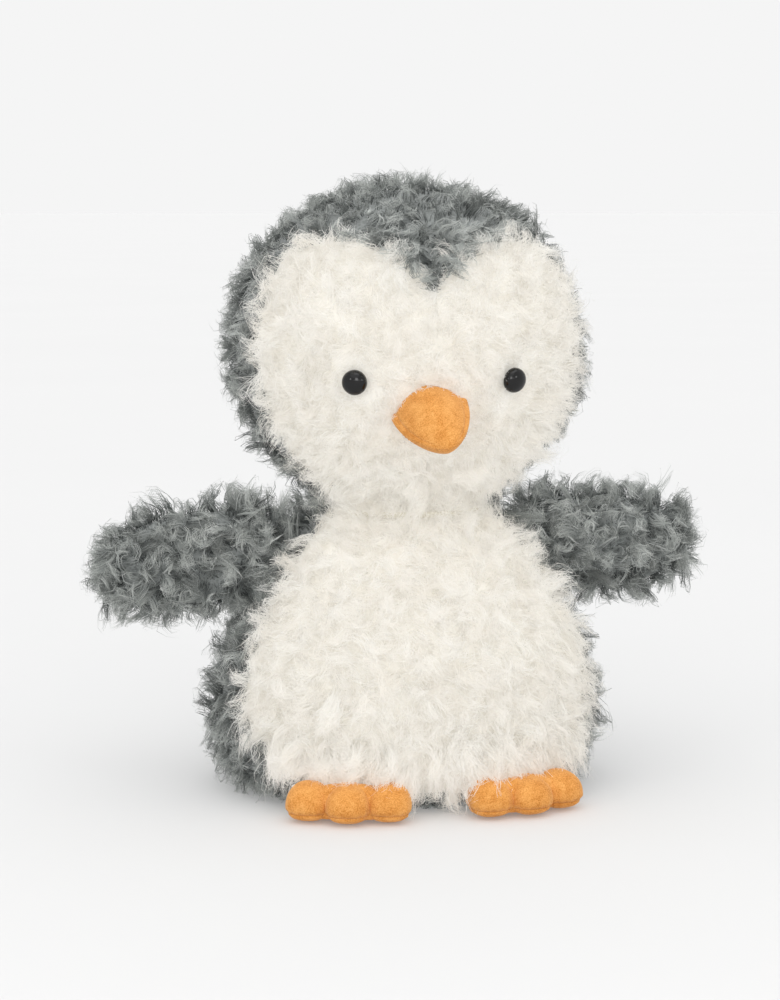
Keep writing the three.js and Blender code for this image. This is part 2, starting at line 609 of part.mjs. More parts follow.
// ---- wings ---------------------------------------------------------------------------------------
for (const { side, own } of SIDES) {
  const place = wingPlacing(side);
  const rootCut = (gap) => solidOf(moved(
    new THREE.BoxGeometry(LONG, LONG, LONG),
    chain(place, translation(gap - WING_ROOT - LONG / 2, 0, 0)),
  ));
  const faceOf = (front) => solidOf(moved(
    new THREE.BoxGeometry(LONG, LONG, LONG),
    chain(place, translation(0, (side * (front ? -1 : 1) * (LONG + GAP)) / 2, 0)),
  ));
  const formAt = (inset) => solidOf(moved(wingForm(inset), place));
  const root = translation(side * WING_PIVOT.x, 0, WING_PIVOT.z);
  const open = bar(1, 2, chain(
    place,
    translation(-WING_ROOT - 1, 0, 0),
    turn(Z_AXIS, -90),
    scaling(
      WING_FLATNESS * WING_HALF_WIDTH - WING_PANEL_THICKNESS - 1,
      1,
      WING_HALF_WIDTH - WING_PANEL_THICKNESS - 2,
    ),
  ), 20);
  const shell = formAt(0).subtract(formAt(WING_PANEL_THICKNESS)).subtract(open);
  addNode(`wing_${own}_front_panel`, shell.intersect(faceOf(true)), greyPile);
  addNode(`wing_${own}_back_panel`, shell.intersect(faceOf(false)), greyPile);
  const fill = formAt(WING_PANEL_THICKNESS + GAP)
    .subtract(rootCut(GAP))
    .subtract(ball(WING_ROOT_BALL_RADIUS + GAP, root, 12, 8));
  addNode(`wing_${own}_fill`, fill, fibreFill);
  addNode(`wing_${own}_root_fill`, ball(WING_ROOT_BALL_RADIUS, root, 12, 8), fibreFill);
}

// ---- feet ----------------------------------------------------------------------------------------
/** The stitched line over the foot between two toes, in the foot's own frame. */
function toeThread(between) {
  const x = (between * TOE_SPACING) / 2;
  const clear = TOE_THREAD_RADIUS + GAP + 0.15;
  const points = [];
  const steps = 6;
  for (let i = 0; i <= steps; i += 1) {
    const angle = radians(8 + (66 * i) / steps);
    const y = -1 - (FOOT_PAD.halfLength + clear) * Math.cos(angle);
    const z = FOOT_PAD.z + (FOOT_PAD.halfHeight + clear) * Math.sin(angle);
    points.push([x, y, z]);
  }
  return thread(points, TOE_THREAD_RADIUS);
}

for (const { side, own } of SIDES) {
  const place = (solid) => solidOf(moved(geometryOf(solid), footPlacing(side)));
  const outer = footForm(0);
  const shell = outer.subtract(footForm(SUEDE_THICKNESS));
  addNode(`foot_${own}_upper`, place(shell.intersect(above(SOLE_SEAM_Z + GAP))), orangeSuede);
  addNode(`foot_${own}_sole`, place(shell.intersect(below(SOLE_SEAM_Z))), orangeSuede);
  addNode(`foot_${own}_fill`, place(footForm(SUEDE_THICKNESS + GAP)), fibreFill);
  for (const between of [-1, 1]) {
    const which = between === side ? 'outer' : 'inner';
    const line = toeThread(between).subtract(footForm(-GAP / 2));
    addNode(`foot_${own}_toe_thread_${which}`, place(line), orangeThread);
  }
}

export default penguin;
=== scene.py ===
"""Looks of the plush penguin: backing cloth and long curly pile, suedette feet and beak, safety eyes.

All shapes are worked out in millimetres in the toy's own frame: +Z is up, the face looks along -Y,
and the penguin's own left is +X. mesh_piece() turns them to metres.
"""

import math

import bmesh
import bpy
import numpy as np
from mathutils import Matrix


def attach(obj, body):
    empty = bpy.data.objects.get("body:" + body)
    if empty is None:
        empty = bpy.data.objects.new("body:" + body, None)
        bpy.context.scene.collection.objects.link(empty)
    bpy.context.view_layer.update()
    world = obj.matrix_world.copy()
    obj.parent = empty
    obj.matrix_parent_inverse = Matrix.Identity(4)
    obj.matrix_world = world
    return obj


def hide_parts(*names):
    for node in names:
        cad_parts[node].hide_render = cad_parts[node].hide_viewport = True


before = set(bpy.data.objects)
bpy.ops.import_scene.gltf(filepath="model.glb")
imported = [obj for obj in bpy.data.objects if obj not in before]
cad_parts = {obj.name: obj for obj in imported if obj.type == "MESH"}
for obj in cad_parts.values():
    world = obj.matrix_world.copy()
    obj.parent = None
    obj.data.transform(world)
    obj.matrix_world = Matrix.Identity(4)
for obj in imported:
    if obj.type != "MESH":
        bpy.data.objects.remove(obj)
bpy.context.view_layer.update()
MM = 0.001
TAU = 2 * math.pi

# ---- sizes of the toy, millimetres and degrees ----
BACKING_INSET = 1.5  # the cloth lies this far inside the form with its pile pressed flat
BACKING_THICKNESS = 0.9
FILLING_INSET = 4.5  # the torso's filling is smaller than the cloth by this much all round

HEAD_CENTRE = np.array((0.0, -1.0, 129.0))
HEAD_AXES = np.array((50.5, 46.5, 46.5)) - BACKING_INSET
HEAD_FULLNESS = 2.1  # 2 is an ellipsoid, and more is squarer
HEAD_UNDERSIDE = 85.4  # the head is flat below this level, over the neck
SIDE_SEAM_SHARE = 0.92  # from in front, the side seams run at this share of the half width
FACE_LOBE = {"x": 22.5, "z": 139.0, "half_width": 24.0, "half_height": 20.5}

TORSO_CORE = np.array((0.0, 0.0, 35.0))
TORSO_HALF_WIDTH = 55.5 - BACKING_INSET
TORSO_DEPTH_SHARE = (46.5 - BACKING_INSET) / TORSO_HALF_WIDTH
TORSO_WIDEST = 27.0  # the level at which it is widest, with its rise above and drop below
TORSO_RISE = 60.0 - BACKING_INSET
TORSO_DROP = 32.0 - BACKING_INSET
TORSO_UPPER = 2.1  # powers of the profile above and below: more is squarer
TORSO_LOWER = 3.5
TORSO_TOP = 83.6
FLANK_HOLLOW = {"depth": 10.5, "z": 57, "reach": 15, "starts": 20, "full": 38}  # for a wing to fold into
BASE_SEAM = 5.5
BASE_LEVEL = 1.0
TUMMY_TUCK = 0.33  # the tummy panel is narrower by this share at the base seam
TUMMY_TUCK_HEIGHT = 20.0

NECK_Z, NECK_RADIUS = 84.5, 17.0

WING_PIVOT = np.array((43.02, 0.0, 70.0))
WING_LENGTH = 44.5 - BACKING_INSET
WING_ROOT = 4.4  # the wing starts this far inside its pivot
WING_HALF_WIDTH = 14.5 - BACKING_INSET
WING_WIDEST = 20.0  # how far beyond the pivot it is widest
WING_TAPER = 46  # the outline towards the root is part of an ellipse, this long to one end
WING_ROUNDING = 2.4  # the tip's outline: 2 is an ellipse, and more is squarer
WING_FLATNESS = 0.62  # thickness over width
WING_SWEEP = 8.0  # backwards
WING_DROOP = {1: 2.0, -1: 8.0}  # downwards: the penguin's right wing (-1) hangs lower

FOOT_PIVOT = np.array((23.5, -40.804, 0.0))
FOOT_TURN_OUT = 15.0
TOES = ((0.0, 15.0, 0.0), (10.5, 13.4, 5.0), (-10.5, 13.4, -5.0))  # sideways place, reach and fan
TOE_RADIUS = 6.4
TOE_HIGH, TOE_LOW = 6.5, 4.1  # above and below the level at which a toe is widest
TOE_CENTRE_Z = 4.5
TOE_SQUARENESS = 0.88  # 1 is a round section, and less is a squarer one
TOE_PLAN_SQUARENESS = 0.82  # the same, seen from above
SOLE_SEAM_Z = 2.8
SEAM_DRAW = 0.45  # how far the sole seam is drawn in
PUCKER, PUCKERS = 0.14, 15  # height of the puckers beside it, and how many go round a toe
PAD_HALF_WIDTH, PAD_HALF_DEPTH, PAD_HALF_HEIGHT = 14.5, 5.4, 5.8
PAD_Y, PAD_Z, PAD_LOWEST = -5.9, 4.9, 1.4
GATHER_X, GATHER_Y, GATHER_Z = 5.9, -6.4, 5.2
GATHER_HALF_DEPTH, GATHER_HALF_HEIGHT = 3.2, 4.1
SOLE_STITCH, GATHER_THREAD, BEAK_STITCH = 0.16, 0.3, 0.13  # radii of the threads

EYE_X, EYE_Y, EYE_Z = 22.2, -42.6, 121.5
EYE_DOME_RADIUS, EYE_DOME_HEIGHT, EYE_RIM = 3.5, 2.4, 0.5
EYE_STEM_RADIUS, EYE_STEM_LENGTH = 1.4, 6.0

BEAK_BASE = np.array((-1.7, -46.5, 111.3))
BEAK_HALF_WIDTH, BEAK_HALF_HEIGHT, BEAK_LENGTH = 10.8, 7.8, 16.0
BEAK_UNDERSIDE = 8.8  # the lower panel is fuller than the upper one
BEAK_ROOT = 5.0  # how far the beak goes back behind its base, into the face
BEAK_DROOP, BEAK_ROLL = 28.0, -14.0
BEAK_PIVOT_AHEAD = 1.0  # droop and roll turn it about a point this far in front of its base
BEAK_VEER = 2.0  # how far the tip lies to the penguin's left of the base
BEAK_SEAM = 0.2  # the seam is this angle, in radians, above the beak's corners
BEAK_BARE_HALF_HEIGHT = 8.6  # of the oval under the beak that has no pile

LABEL_WIDTH, LABEL_OUT, LABEL_DROP = 13, 4.0, 15.2
LABEL_ROOT_Y, LABEL_ROOT_Z = 47.2, 25.4


# ---- numbers and meshes ----
def linear(hex_colour):
    """An sRGB hex colour as linear RGBA."""
    channels = np.array([(hex_colour >> shift) & 255 for shift in (16, 8, 0)]) / 255
    low, high = channels / 12.92, ((channels + 0.055) / 1.055) ** 2.4
    return (*np.where(channels <= 0.04045, low, high).tolist(), 1.0)


def unit(vectors):
    """Vectors along the last axis, each made one long."""
    return vectors / np.maximum(np.linalg.norm(vectors, axis=-1, keepdims=True), 1e-9)


def turn_matrix(axis, degrees):
    """A right-handed turn about X (0), Y (1) or Z (2), as a 3 by 3 matrix."""
    c, s = math.cos(math.radians(degrees)), math.sin(math.radians(degrees))
    a, b = (axis + 1) % 3, (axis + 2) % 3
    matrix = np.eye(3)
    matrix[a, a], matrix[a, b], matrix[b, a], matrix[b, b] = c, -s, s, c
    return matrix


def ramp(value, low, high):
    """0 below low, 1 above high, and straight between."""
    return np.clip((value - low) / (high - low), 0, 1)


def smoothstep(value, low, high):
    """0 below low, 1 above high, and 3t² - 2t³ between."""
    t = ramp(value, low, high)
    return t * t * (3 - 2 * t)


def mesh_piece(name, points, corners, sizes, material, uv=None):
    """A mesh object from points in millimetres, its faces' corners in a row and the faces' sizes."""
    mesh = bpy.data.meshes.new(name)
    mesh.vertices.add(len(points))
    mesh.vertices.foreach_set("co", (points * MM).astype(np.float32).ravel())
    mesh.loops.add(len(corners))
    mesh.loops.foreach_set("vertex_index", corners.astype(np.int32))
    mesh.polygons.add(len(sizes))
    starts = np.concatenate(([0], np.cumsum(sizes)[:-1]))
    mesh.polygons.foreach_set("loop_start", starts.astype(np.int32))
    if uv is not None:
        layer = mesh.uv_layers.new(name="OFBake")
        layer.uv.foreach_set("vector", uv.astype(np.float32).ravel())
    mesh.update(calc_edges=True)
    mesh.shade_smooth()
    mesh.materials.append(material)
    piece = bpy.data.objects.new(name, mesh)
    bpy.context.scene.collection.objects.link(piece)
    return piece


def grid_corners(rows, columns):
    """The corners of a grid's quads, row by row."""
    first = (np.arange(rows - 1)[:, None] * columns + np.arange(columns - 1)).ravel()
    return np.stack((first, first + 1, first + columns + 1, first + columns), axis=1).ravel()


def surface_piece(name, surfaces, rows, columns, material, core):
    """One mesh of surfaces, each a function of two parameters from 0 to 1 on a grid of rows by columns.

    Coinciding points are merged, so seams and poles close, and faces point away from the core.
    """
    u, v = np.meshgrid(np.linspace(0, 1, columns), np.linspace(0, 1, rows))
    sheets = [surface(u.ravel(), v.ravel()) for surface in surfaces]
    corners = [grid_corners(rows, columns) + i * rows * columns for i in range(len(sheets))]
    corners = np.concatenate(corners)
    piece = mesh_piece(
        name, np.concatenate(sheets), corners, np.full(len(corners) // 4, 4), material
    )
    shape = bmesh.new()
    shape.from_mesh(piece.data)
    bmesh.ops.remove_doubles(shape, verts=shape.verts, dist=2e-6)
    bmesh.ops.dissolve_degenerate(shape, edges=shape.edges, dist=1e-6)
    bmesh.ops.recalc_face_normals(shape, faces=shape.faces)
    shape.to_mesh(piece.data)
    shape.free()
    centres = np.empty(len(piece.data.polygons) * 3)
    normals = np.empty_like(centres)
    areas = np.empty(len(piece.data.polygons))
    piece.data.polygons.foreach_get("center", centres)
    piece.data.polygons.foreach_get("normal", normals)
    piece.data.polygons.foreach_get("area", areas)
    outward = (centres.reshape(-1, 3) - core * MM) * normals.reshape(-1, 3)
    if (outward.sum(axis=1) * areas).sum() < 0:
        piece.data.flip_normals()
    piece.data.shade_smooth()
    return piece


# ---- materials ----
def add(tree, kind, inputs=None, **settings):
    """Adds a node. Each input is a value or another node's output, by name or number."""
    node = tree.nodes.new(kind)
    for key, value in settings.items():
        setattr(node, key, value)
    for key, value in (inputs or {}).items():
        if isinstance(value, bpy.types.NodeSocket):
            tree.links.new(value, node.inputs[key])
        else:
            node.inputs[key].default_value = value
    return node


def new_material(name):
    """An empty node material and its tree."""
    material = bpy.data.materials.new(name)
    material.use_nodes = True
    material.node_tree.nodes.clear()
    return material, material.node_tree


def colour_ramp(tree, factor, stops):
    """A colour ramp through (place, hex colour) stops."""
    node = add(tree, "ShaderNodeValToRGB", {"Fac": factor})
    elements = node.color_ramp.elements
    while len(elements) < len(stops):
        elements.new(0.5)
    for element, (place, colour) in zip(elements, stops):
        element.position = place
        element.color = linear(colour)
    return node.outputs["Color"]


def finish_material(tree, shader):
    """Joins a shader to the material's output."""
    add(tree, "ShaderNodeOutputMaterial", {"Surface": shader})


def pile_material(name, stops, tints, glow):
    """Acrylic pile yarn. The OFBake map has a hair's tone across and root to tip upwards.

    stops colour it from root to tip, with darker roots as painted shade deep in the pile and paler tips
    as painted light where it comes through, tints multiply it from the darkest hair to the lightest, and
    glow is the share of light that comes through the thin fibres.
    """
    material, tree = new_material(name)
    place = add(tree, "ShaderNodeUVMap", uv_map="OFBake")
    parts = add(tree, "ShaderNodeSeparateXYZ", {"Vector": place.outputs["UV"]})
    # painted shade and light: the ramp from root to tip darkens the roots as shade deep in the pile and
    # lightens the tips as light coming through
    along = colour_ramp(tree, parts.outputs["Y"], stops)
    tone = colour_ramp(tree, parts.outputs["X"], tints)
    mix = {"data_type": "RGBA", "blend_type": "MULTIPLY"}
    colour = add(tree, "ShaderNodeMix", {0: 1.0, 6: along, 7: tone}, **mix).outputs[2]
    yarn = {"Base Color": colour, "Roughness": 0.7, "Specular IOR Level": 0.25, "IOR": 1.5}
    fibre = add(tree, "ShaderNodeBsdfPrincipled", yarn)
    through = add(tree, "ShaderNodeBsdfTranslucent", {"Color": colour})
    both = add(tree, "ShaderNodeMixShader", {0: glow, 1: fibre.outputs[0], 2: through.outputs[0]})
    finish_material(tree, both.outputs[0])
    return material


def cloth_material(name, dark, light, spacing, bump=0.25):
    """Matt knitted or woven cloth: a thread every `spacing` mm, with paler patches 6 mm across."""
    material, tree = new_material(name)
    place = add(tree, "ShaderNodeTexCoord").outputs["Object"]
    spots = {"Vector": place, "Scale": 1 / (spacing * MM)}
    threads = add(tree, "ShaderNodeTexVoronoi", spots, feature="F1").outputs["Distance"]
    noise = {"Vector": place, "Scale": 1 / (6 * MM), "Detail": 4.0}
    patches = add(tree, "ShaderNodeTexNoise", noise).outputs["Fac"]
    blend = add(tree, "ShaderNodeMix", {0: 0.45, 2: threads, 3: patches}, data_type="FLOAT")
    colour = colour_ramp(tree, blend.outputs[0], [(0.2, dark), (0.65, light)])
    relief = add(tree, "ShaderNodeBump", {"Height": threads, "Strength": bump, "Distance": 0.3 * MM})
    cloth = {"Base Color": colour, "Roughness": 0.92, "Sheen Weight": 0.2, "Normal": relief.outputs[0]}
    finish_material(tree, add(tree, "ShaderNodeBsdfPrincipled", cloth).outputs[0])
    return material


def suedette_material(name, dark, middle, light):
    """Suedette: brushed microfibre, whose short nap lies one way or the other in 3.5 mm patches.

    The nap's grain is drawn at 0.35 mm, about twice as coarse as it is, so that it shows.
    """
    material, tree = new_material(name)
    place = add(tree, "ShaderNodeTexCoord").outputs["Object"]
    fine = {"Vector": place, "Scale": 1 / (0.35 * MM), "Detail": 3.0, "Roughness": 0.7}
    grain = add(tree, "ShaderNodeTexNoise", fine).outputs["Fac"]
    wide = {"Vector": place, "Scale": 1 / (3.5 * MM), "Detail": 3.0, "Distortion": 0.6}
    brushed = add(tree, "ShaderNodeTexNoise", wide).outputs["Fac"]
    blend = add(tree, "ShaderNodeMix", {0: 0.3, 2: grain, 3: brushed}, data_type="FLOAT")
    colour = colour_ramp(tree, blend.outputs[0], [(0.38, dark), (0.49, middle), (0.62, light)])
    relief = add(tree, "ShaderNodeBump", {"Height": grain, "Strength": 0.5, "Distance": 0.25 * MM})
    suede = {"Base Color": colour, "Roughness": 0.88, "Specular IOR Level": 0.2, "Sheen Weight": 0.35}
    suede |= {"Sheen Roughness": 0.45, "Sheen Tint": linear(0xFFD9A8), "Normal": relief.outputs[0]}
    finish_material(tree, add(tree, "ShaderNodeBsdfPrincipled", suede).outputs[0])
    return material


def moulded_material(name, dark, light, roughness, mottle, gloss=0.5):
    """Two close tones that change over `mottle` mm: wide on a moulding, fine on thread and satin."""
    material, tree = new_material(name)
    place = add(tree, "ShaderNodeTexCoord").outputs["Object"]
    slow = {"Vector": place, "Scale": 1 / (mottle * MM), "Detail": 3.0}
    noise = add(tree, "ShaderNodeTexNoise", slow).outputs["Fac"]
    colour = colour_ramp(tree, noise, [(0.35, dark), (0.65, light)])
    relief = add(tree, "ShaderNodeBump", {"Height": noise, "Strength": 0.06, "Distance": 0.1 * MM})
    plastic = {"Base Color": colour, "Roughness": roughness, "IOR": 1.6, "Specular IOR Level": gloss}
    plastic["Normal"] = relief.outputs[0]
    finish_material(tree, add(tree, "ShaderNodeBsdfPrincipled", plastic).outputs[0])
    return material


# Acrylic pile, long and curly: darker at the roots as painted shade deep in the pile, and paler at the
# tips as painted light where the light goes through it.
GREY_PILE = pile_material(
    "grey acrylic pile",
    [(0.0, 0x535756), (0.3, 0x8B8F8D), (0.7, 0xC0C3C0), (1.0, 0xEAECE9)],
    [(0.0, 0x8E908F), (0.5, 0xDCDDDC), (1.0, 0xFFFFFF)],
    0.35,
)
# the cream pile's stops also hold painted shade at the roots and painted light at the tips
CREAM_PILE = pile_material(
    "cream acrylic pile",
    [(0.0, 0xECEBE7), (0.35, 0xF0EFEC), (0.75, 0xF4F3F0), (1.0, 0xF7F6F3)],
    [(0.0, 0xF9F7F4), (0.5, 0xFCFBFA), (1.0, 0xFFFFFF)],
    0.5,
)
# Tricot backing, knitted fine in the pile's hue but darker, as painted shade where it shows between the
# hairs, so it shows no lighter than the roots.
GREY_BACKING = cloth_material("grey tricot backing", 0x686C6B, 0x8A8E8C, 0.9)
CREAM_BACKING = cloth_material("cream tricot backing", 0xE3E0D9, 0xE9E6DF, 0.9)
# Brushed microfibre suedette, matt and warm, darker where the nap lies the other way.
ORANGE_SUEDE = suedette_material("orange microfibre suedette", 0xB26E2A, 0xD08E46, 0xE0A45E)
# Spun polyester thread, with a fine mottle from its twist and a dull shine.
ORANGE_THREAD = moulded_material("orange polyester thread", 0xA8641F, 0xC9853A, 0.6, 0.4)
PALE_THREAD = moulded_material("undyed polyester thread", 0xC9C4B6, 0xE2DED2, 0.6, 0.4)
# The inside: white crimped fibre without any shine, and a plain calico pouch, warmer and duller.
FIBRE_FILL = cloth_material("polyester fibre filling", 0xD9D9D5, 0xF6F6F4, 0.6, 0.6)
COTTON = cloth_material("unbleached cotton calico", 0xD3CCBB, 0xEAE4D6, 0.7)
# Acrylic safety eyes: polished nearly smooth, so every lamp shows in them as a hard spark.
EYE_PLASTIC = moulded_material("black polished acrylic", 0x030303, 0x060505, 0.05, 3.0, 0.3)
# Natural polypropylene and polyethylene, white to milky, with the half gloss of the mould.
WASHER_PLASTIC = moulded_material("white moulded polypropylene", 0xDCDCD8, 0xEBEBE8, 0.45, 2.0)
PELLETS = moulded_material("polyethylene pellets", 0xCBD0D3, 0xE6E9EA, 0.4, 1.5)
# Woven satin ribbon, whose long floating threads give a soft gloss.
SATIN = moulded_material("white satin ribbon", 0xEDEBE4, 0xFBFAF6, 0.35, 0.5)
# Seamless paper, matt and even.
PAPER = moulded_material("pale studio paper", 0xD2D2D2, 0xD3D3D3, 0.95, 400.0)


# ---- the cloth's forms, each a function of two parameters from 0 to 1 ----
def head_reach(direction):
    """How far the head reaches along unit directions: (x²/a² + y²/b²)^(n/2) + |z/c|^n = 1."""
    a, b, c = HEAD_AXES
    across = (direction[:, 0] / a) ** 2 + (direction[:, 1] / b) ** 2
    upright = np.abs(direction[:, 2] / c)
    return (across ** (HEAD_FULLNESS / 2) + upright**HEAD_FULLNESS) ** (-1 / HEAD_FULLNESS)


def head_point(heading, tilt):
    """The head's surface, heading round the axis through the face and tilt away from that axis."""
    direction = np.stack(
        (np.sin(tilt) * np.cos(heading), -np.cos(tilt), np.sin(tilt) * np.sin(heading)), axis=1
    )
    point = HEAD_CENTRE + direction * head_reach(direction)[:, None]
    point[:, 2] = np.maximum(point[:, 2], HEAD_UNDERSIDE)
    return point


def face_edge():
    """The face seam of the penguin's left half: headings upwards, and the tilt of the seam at each.

    In front view the seam is a lobe, |x - x0|²/w² + |z - z0|²/h² = 1, down from the peak in the
    middle, and then 0.92 of the head's half width down to the neck.
    """
    a, b, c = HEAD_AXES
    lobe = FACE_LOBE

    def side_seam_x(z):
        return SIDE_SEAM_SHARE * a * (1 - np.abs(z / c) ** HEAD_FULLNESS) ** (1 / HEAD_FULLNESS)

    start = math.acos(-lobe["x"] / lobe["half_width"])
    angle = np.linspace(start, -1.2, 160)
    x = np.maximum(lobe["x"] + lobe["half_width"] * np.cos(angle), 0)
    z = lobe["z"] + lobe["half_height"] * np.sin(angle) - HEAD_CENTRE[2]
    inside = np.cumprod(x < side_seam_x(z)).astype(bool)
    low = z[inside][-1]
    side_z = np.linspace(low - 0.5, -c + 0.2, 120)
    x = np.concatenate((x[inside], side_seam_x(side_z)))
    z = np.concatenate((z[inside], side_z))
    heading, out = np.arctan2(z, x), np.hypot(x, z)
    inner = (1 - np.abs(z / c) ** HEAD_FULLNESS) ** (2 / HEAD_FULLNESS) - (x / a) ** 2
    tilt = np.arctan2(out, b * np.sqrt(np.maximum(inner, 0)))
    order = np.argsort(heading)
    return heading[order], tilt[order]


SEAM_HEADING, SEAM_TILT = face_edge()


def mirrored(side, surface):
    """A surface of the penguin's left half (1), or its mirror image on the right (-1)."""
    return lambda u, v: surface(u, v) * (side, 1, 1)


def face_half(side):
    """Half of the face panel: the first parameter turns round the face, the second runs outwards."""

    def surface(u, v):
        heading = (u - 0.5) * math.pi
        return head_point(heading, v * np.interp(heading, SEAM_HEADING, SEAM_TILT))

    return mirrored(side, surface)


def hood_half(side):
    """Half of the hood: the first parameter turns round the head, the second runs to its back."""

    def surface(u, v):
        heading = (u - 0.5) * math.pi
        edge = np.interp(heading, SEAM_HEADING, SEAM_TILT)
        return head_point(heading, edge + v * (math.pi - edge))

    return mirrored(side, surface)


def torso_width(z):
    """The torso's half width at a height: r = R (1 - share^n)^(1/n), share from its widest level."""
    up = z > TORSO_WIDEST
    share = np.clip(np.abs(z - TORSO_WIDEST) / np.where(up, TORSO_RISE, TORSO_DROP), 0, 1)
    power = np.where(up, TORSO_UPPER, TORSO_LOWER)
    return TORSO_HALF_WIDTH * (1 - share**power) ** (1 / power)


def torso_point(turn, height):
    """The torso's surface: turn from the front round to the back, height from 0 to 1 up the profile.

    The flanks are hollowed for the wings by D exp(-(y/r)² - ((z - z0)/r)²), fading to none in front.
    """
    lower_share = 0.26
    low = BASE_SEAM + (TORSO_WIDEST - BASE_SEAM) * ramp(height, 0, lower_share)
    rise = ramp(height, lower_share, 1) * math.pi / 2
    high = TORSO_WIDEST + TORSO_RISE * np.sin(rise) ** (2 / TORSO_UPPER)
    z = np.where(height < lower_share, low, high)
    out = torso_width(z)
    x, y = out * np.sin(turn), -out * TORSO_DEPTH_SHARE * np.cos(turn)
    flank = FLANK_HOLLOW
    hollow = np.exp(-((y / flank["reach"]) ** 2) - ((z - flank["z"]) / flank["reach"]) ** 2)
    hollow = flank["depth"] * hollow * smoothstep(np.abs(x), flank["starts"], flank["full"])
    x = x - np.sign(x) * hollow
    return np.stack((x, y, np.minimum(z, TORSO_TOP)), axis=1)


def side_seam(height):
    """The turn at which the tummy panel ends, narrower near the base."""
    z = torso_point(np.zeros_like(height), height)[:, 2]
    tuck = 1 - TUMMY_TUCK * (1 - smoothstep(z, BASE_SEAM, BASE_SEAM + TUMMY_TUCK_HEIGHT))
    return np.arcsin(SIDE_SEAM_SHARE * tuck)


def tummy_strip(start, end):
    """The tummy panel between two shares of its width, from -1 at the penguin's right to 1."""
    return lambda u, v: torso_point((start + (end - start) * u) * side_seam(v), v)


def back_half(side):
    """Half of the back, from the side seam to the middle of the back."""

    def surface(u, v):
        edge = side_seam(v)
        return torso_point(edge + u * (math.pi - edge), v)

    return mirrored(side, surface)


def base_surface(u, v):
    """The base panel: flat out to 0.7 of the way, and then up the torso's lower edge to its seam."""
    flat_share = 0.7
    z = BASE_LEVEL + (BASE_SEAM - BASE_LEVEL) * ramp(v, flat_share, 1)
    out = torso_width(z) * ramp(v, 0, flat_share)
    turn = u * TAU
    return np.stack((out * np.sin(turn), -out * TORSO_DEPTH_SHARE * np.cos(turn), z), axis=1)


def back_fringe_surface(u, v):
    """The lowest strip of the back, where the closing stitches are."""
    start = 1.75
    return torso_point(start + u * (TAU - 2 * start), 0.02 + 0.1 * v)


def torso_filling(u, v):
    """The fibre filling of the torso, a little inside the cloth, with a flat underside."""
    flat_share = 0.1
    point = torso_point(u * TAU, ramp(v, flat_share, 1))
    away = point - TORSO_CORE
    inset = 1 - FILLING_INSET / np.linalg.norm(away, axis=1, keepdims=True)
    out = ramp(v, 0, flat_share)
    return (TORSO_CORE + away * inset) * np.stack((out, out, np.ones_like(v)), axis=1)


def wing_half(side, front):
    """Front or back of a wing: the first parameter runs over it, the second from root to tip.

    From the widest place the half width is W sqrt(1 - (s/T)²) towards the root, with s the distance,
    and W (1 - s^n)^(1/n) towards the tip, with s the share of the way. Sections are ellipses.
    """
    root_share, widest_share = 0.08, 0.44
    outwards = turn_matrix(2, 180) if side < 0 else np.eye(3)
    placing = turn_matrix(2, side * WING_SWEEP) @ turn_matrix(1, side * WING_DROOP[side]) @ outwards
    facing = -1 if front == (side > 0) else 1

    def surface(u, v):
        inner = ramp(v, root_share, widest_share)
        tip = ramp(v, widest_share, 1) * math.pi / 2
        along = -WING_ROOT + (WING_WIDEST + WING_ROOT) * inner
        along = along + (WING_LENGTH - WING_WIDEST) * np.sin(tip) ** (2 / WING_ROUNDING)
        width = np.where(
            v < widest_share,
            np.sqrt(np.maximum(1 - ((WING_WIDEST - along) / WING_TAPER) ** 2, 0)),
            np.abs(np.cos(tip)) ** (2 / WING_ROUNDING),
        )
        width = width * WING_HALF_WIDTH * ramp(v, 0, root_share)
        angle = (u - 0.5) * math.pi
        across, thick = width * np.sin(angle), WING_FLATNESS * width * np.cos(angle) * facing
        local = np.stack((along, thick, across), axis=1)
        return local @ placing.T + WING_PIVOT * (side, 1, 1)

    return surface


def wing_part(side, front, start, end):
    """The part of the wing's front or back between two shares of its length."""
    whole = wing_half(side, front)
    return lambda u, v: whole(u, start + (end - start) * v)


def hood_peak(side):
    """The strip of the hood along the seam on one side of the peak between the face's lobes."""
    whole = hood_half(side)
    return lambda u, v: whole(0.84 + 0.16 * u, 0.06 * v)


# ---- pile ----
STEPS = 8  # points along a hair
HAIRS_PER_LOCK = 7
CLEARANCE = 0.25  # millimetres that a lock's tip keeps off the cloth, and a hair off the ground
LOOSE_CRIMP, LOOSE_CLOSE = 1.3, 0.1  # crimp and close, as in the looks, of the stray hairs
CURL_TONES, HAIR_TONES = 0.22, 0.13  # how far curls, and hairs within a curl, differ in tone
TONE_BAND = 0.004  # a hair's half width in the OFBake map
QUICK_SHARE = 1.0


def scatter(surface, count, core, rng):
    """Roots spread evenly over a surface, with their outward directions.

    Parameters are drawn at random and kept in proportion to the area that each stands for, which is
    the length of the cross product of the surface's two slopes.
    """
    u, v = rng.random((2, 8 * count)) * 0.998
    step = 1e-3
    point = surface(u, v)
    normal = np.cross(surface(u + step, v) - point, surface(u, v + step) - point)
    area = np.linalg.norm(normal, axis=1)
    kept = np.flatnonzero(rng.random(u.size) < area / np.quantile(area, 0.995))[:count]
    point, normal = point[kept], unit(normal[kept])
    outwards = np.sign(((point - core) * normal).sum())
    return point, normal * outwards


def turned_in_plane(direction, normal, angle):
    """Directions turned about their normals: d cos(a) + (n x d) sin(a)."""
    flat = unit(direction - normal * (direction * normal).sum(axis=1, keepdims=True))
    return flat * np.cos(angle)[:, None] + np.cross(normal, flat) * np.sin(angle)[:, None]


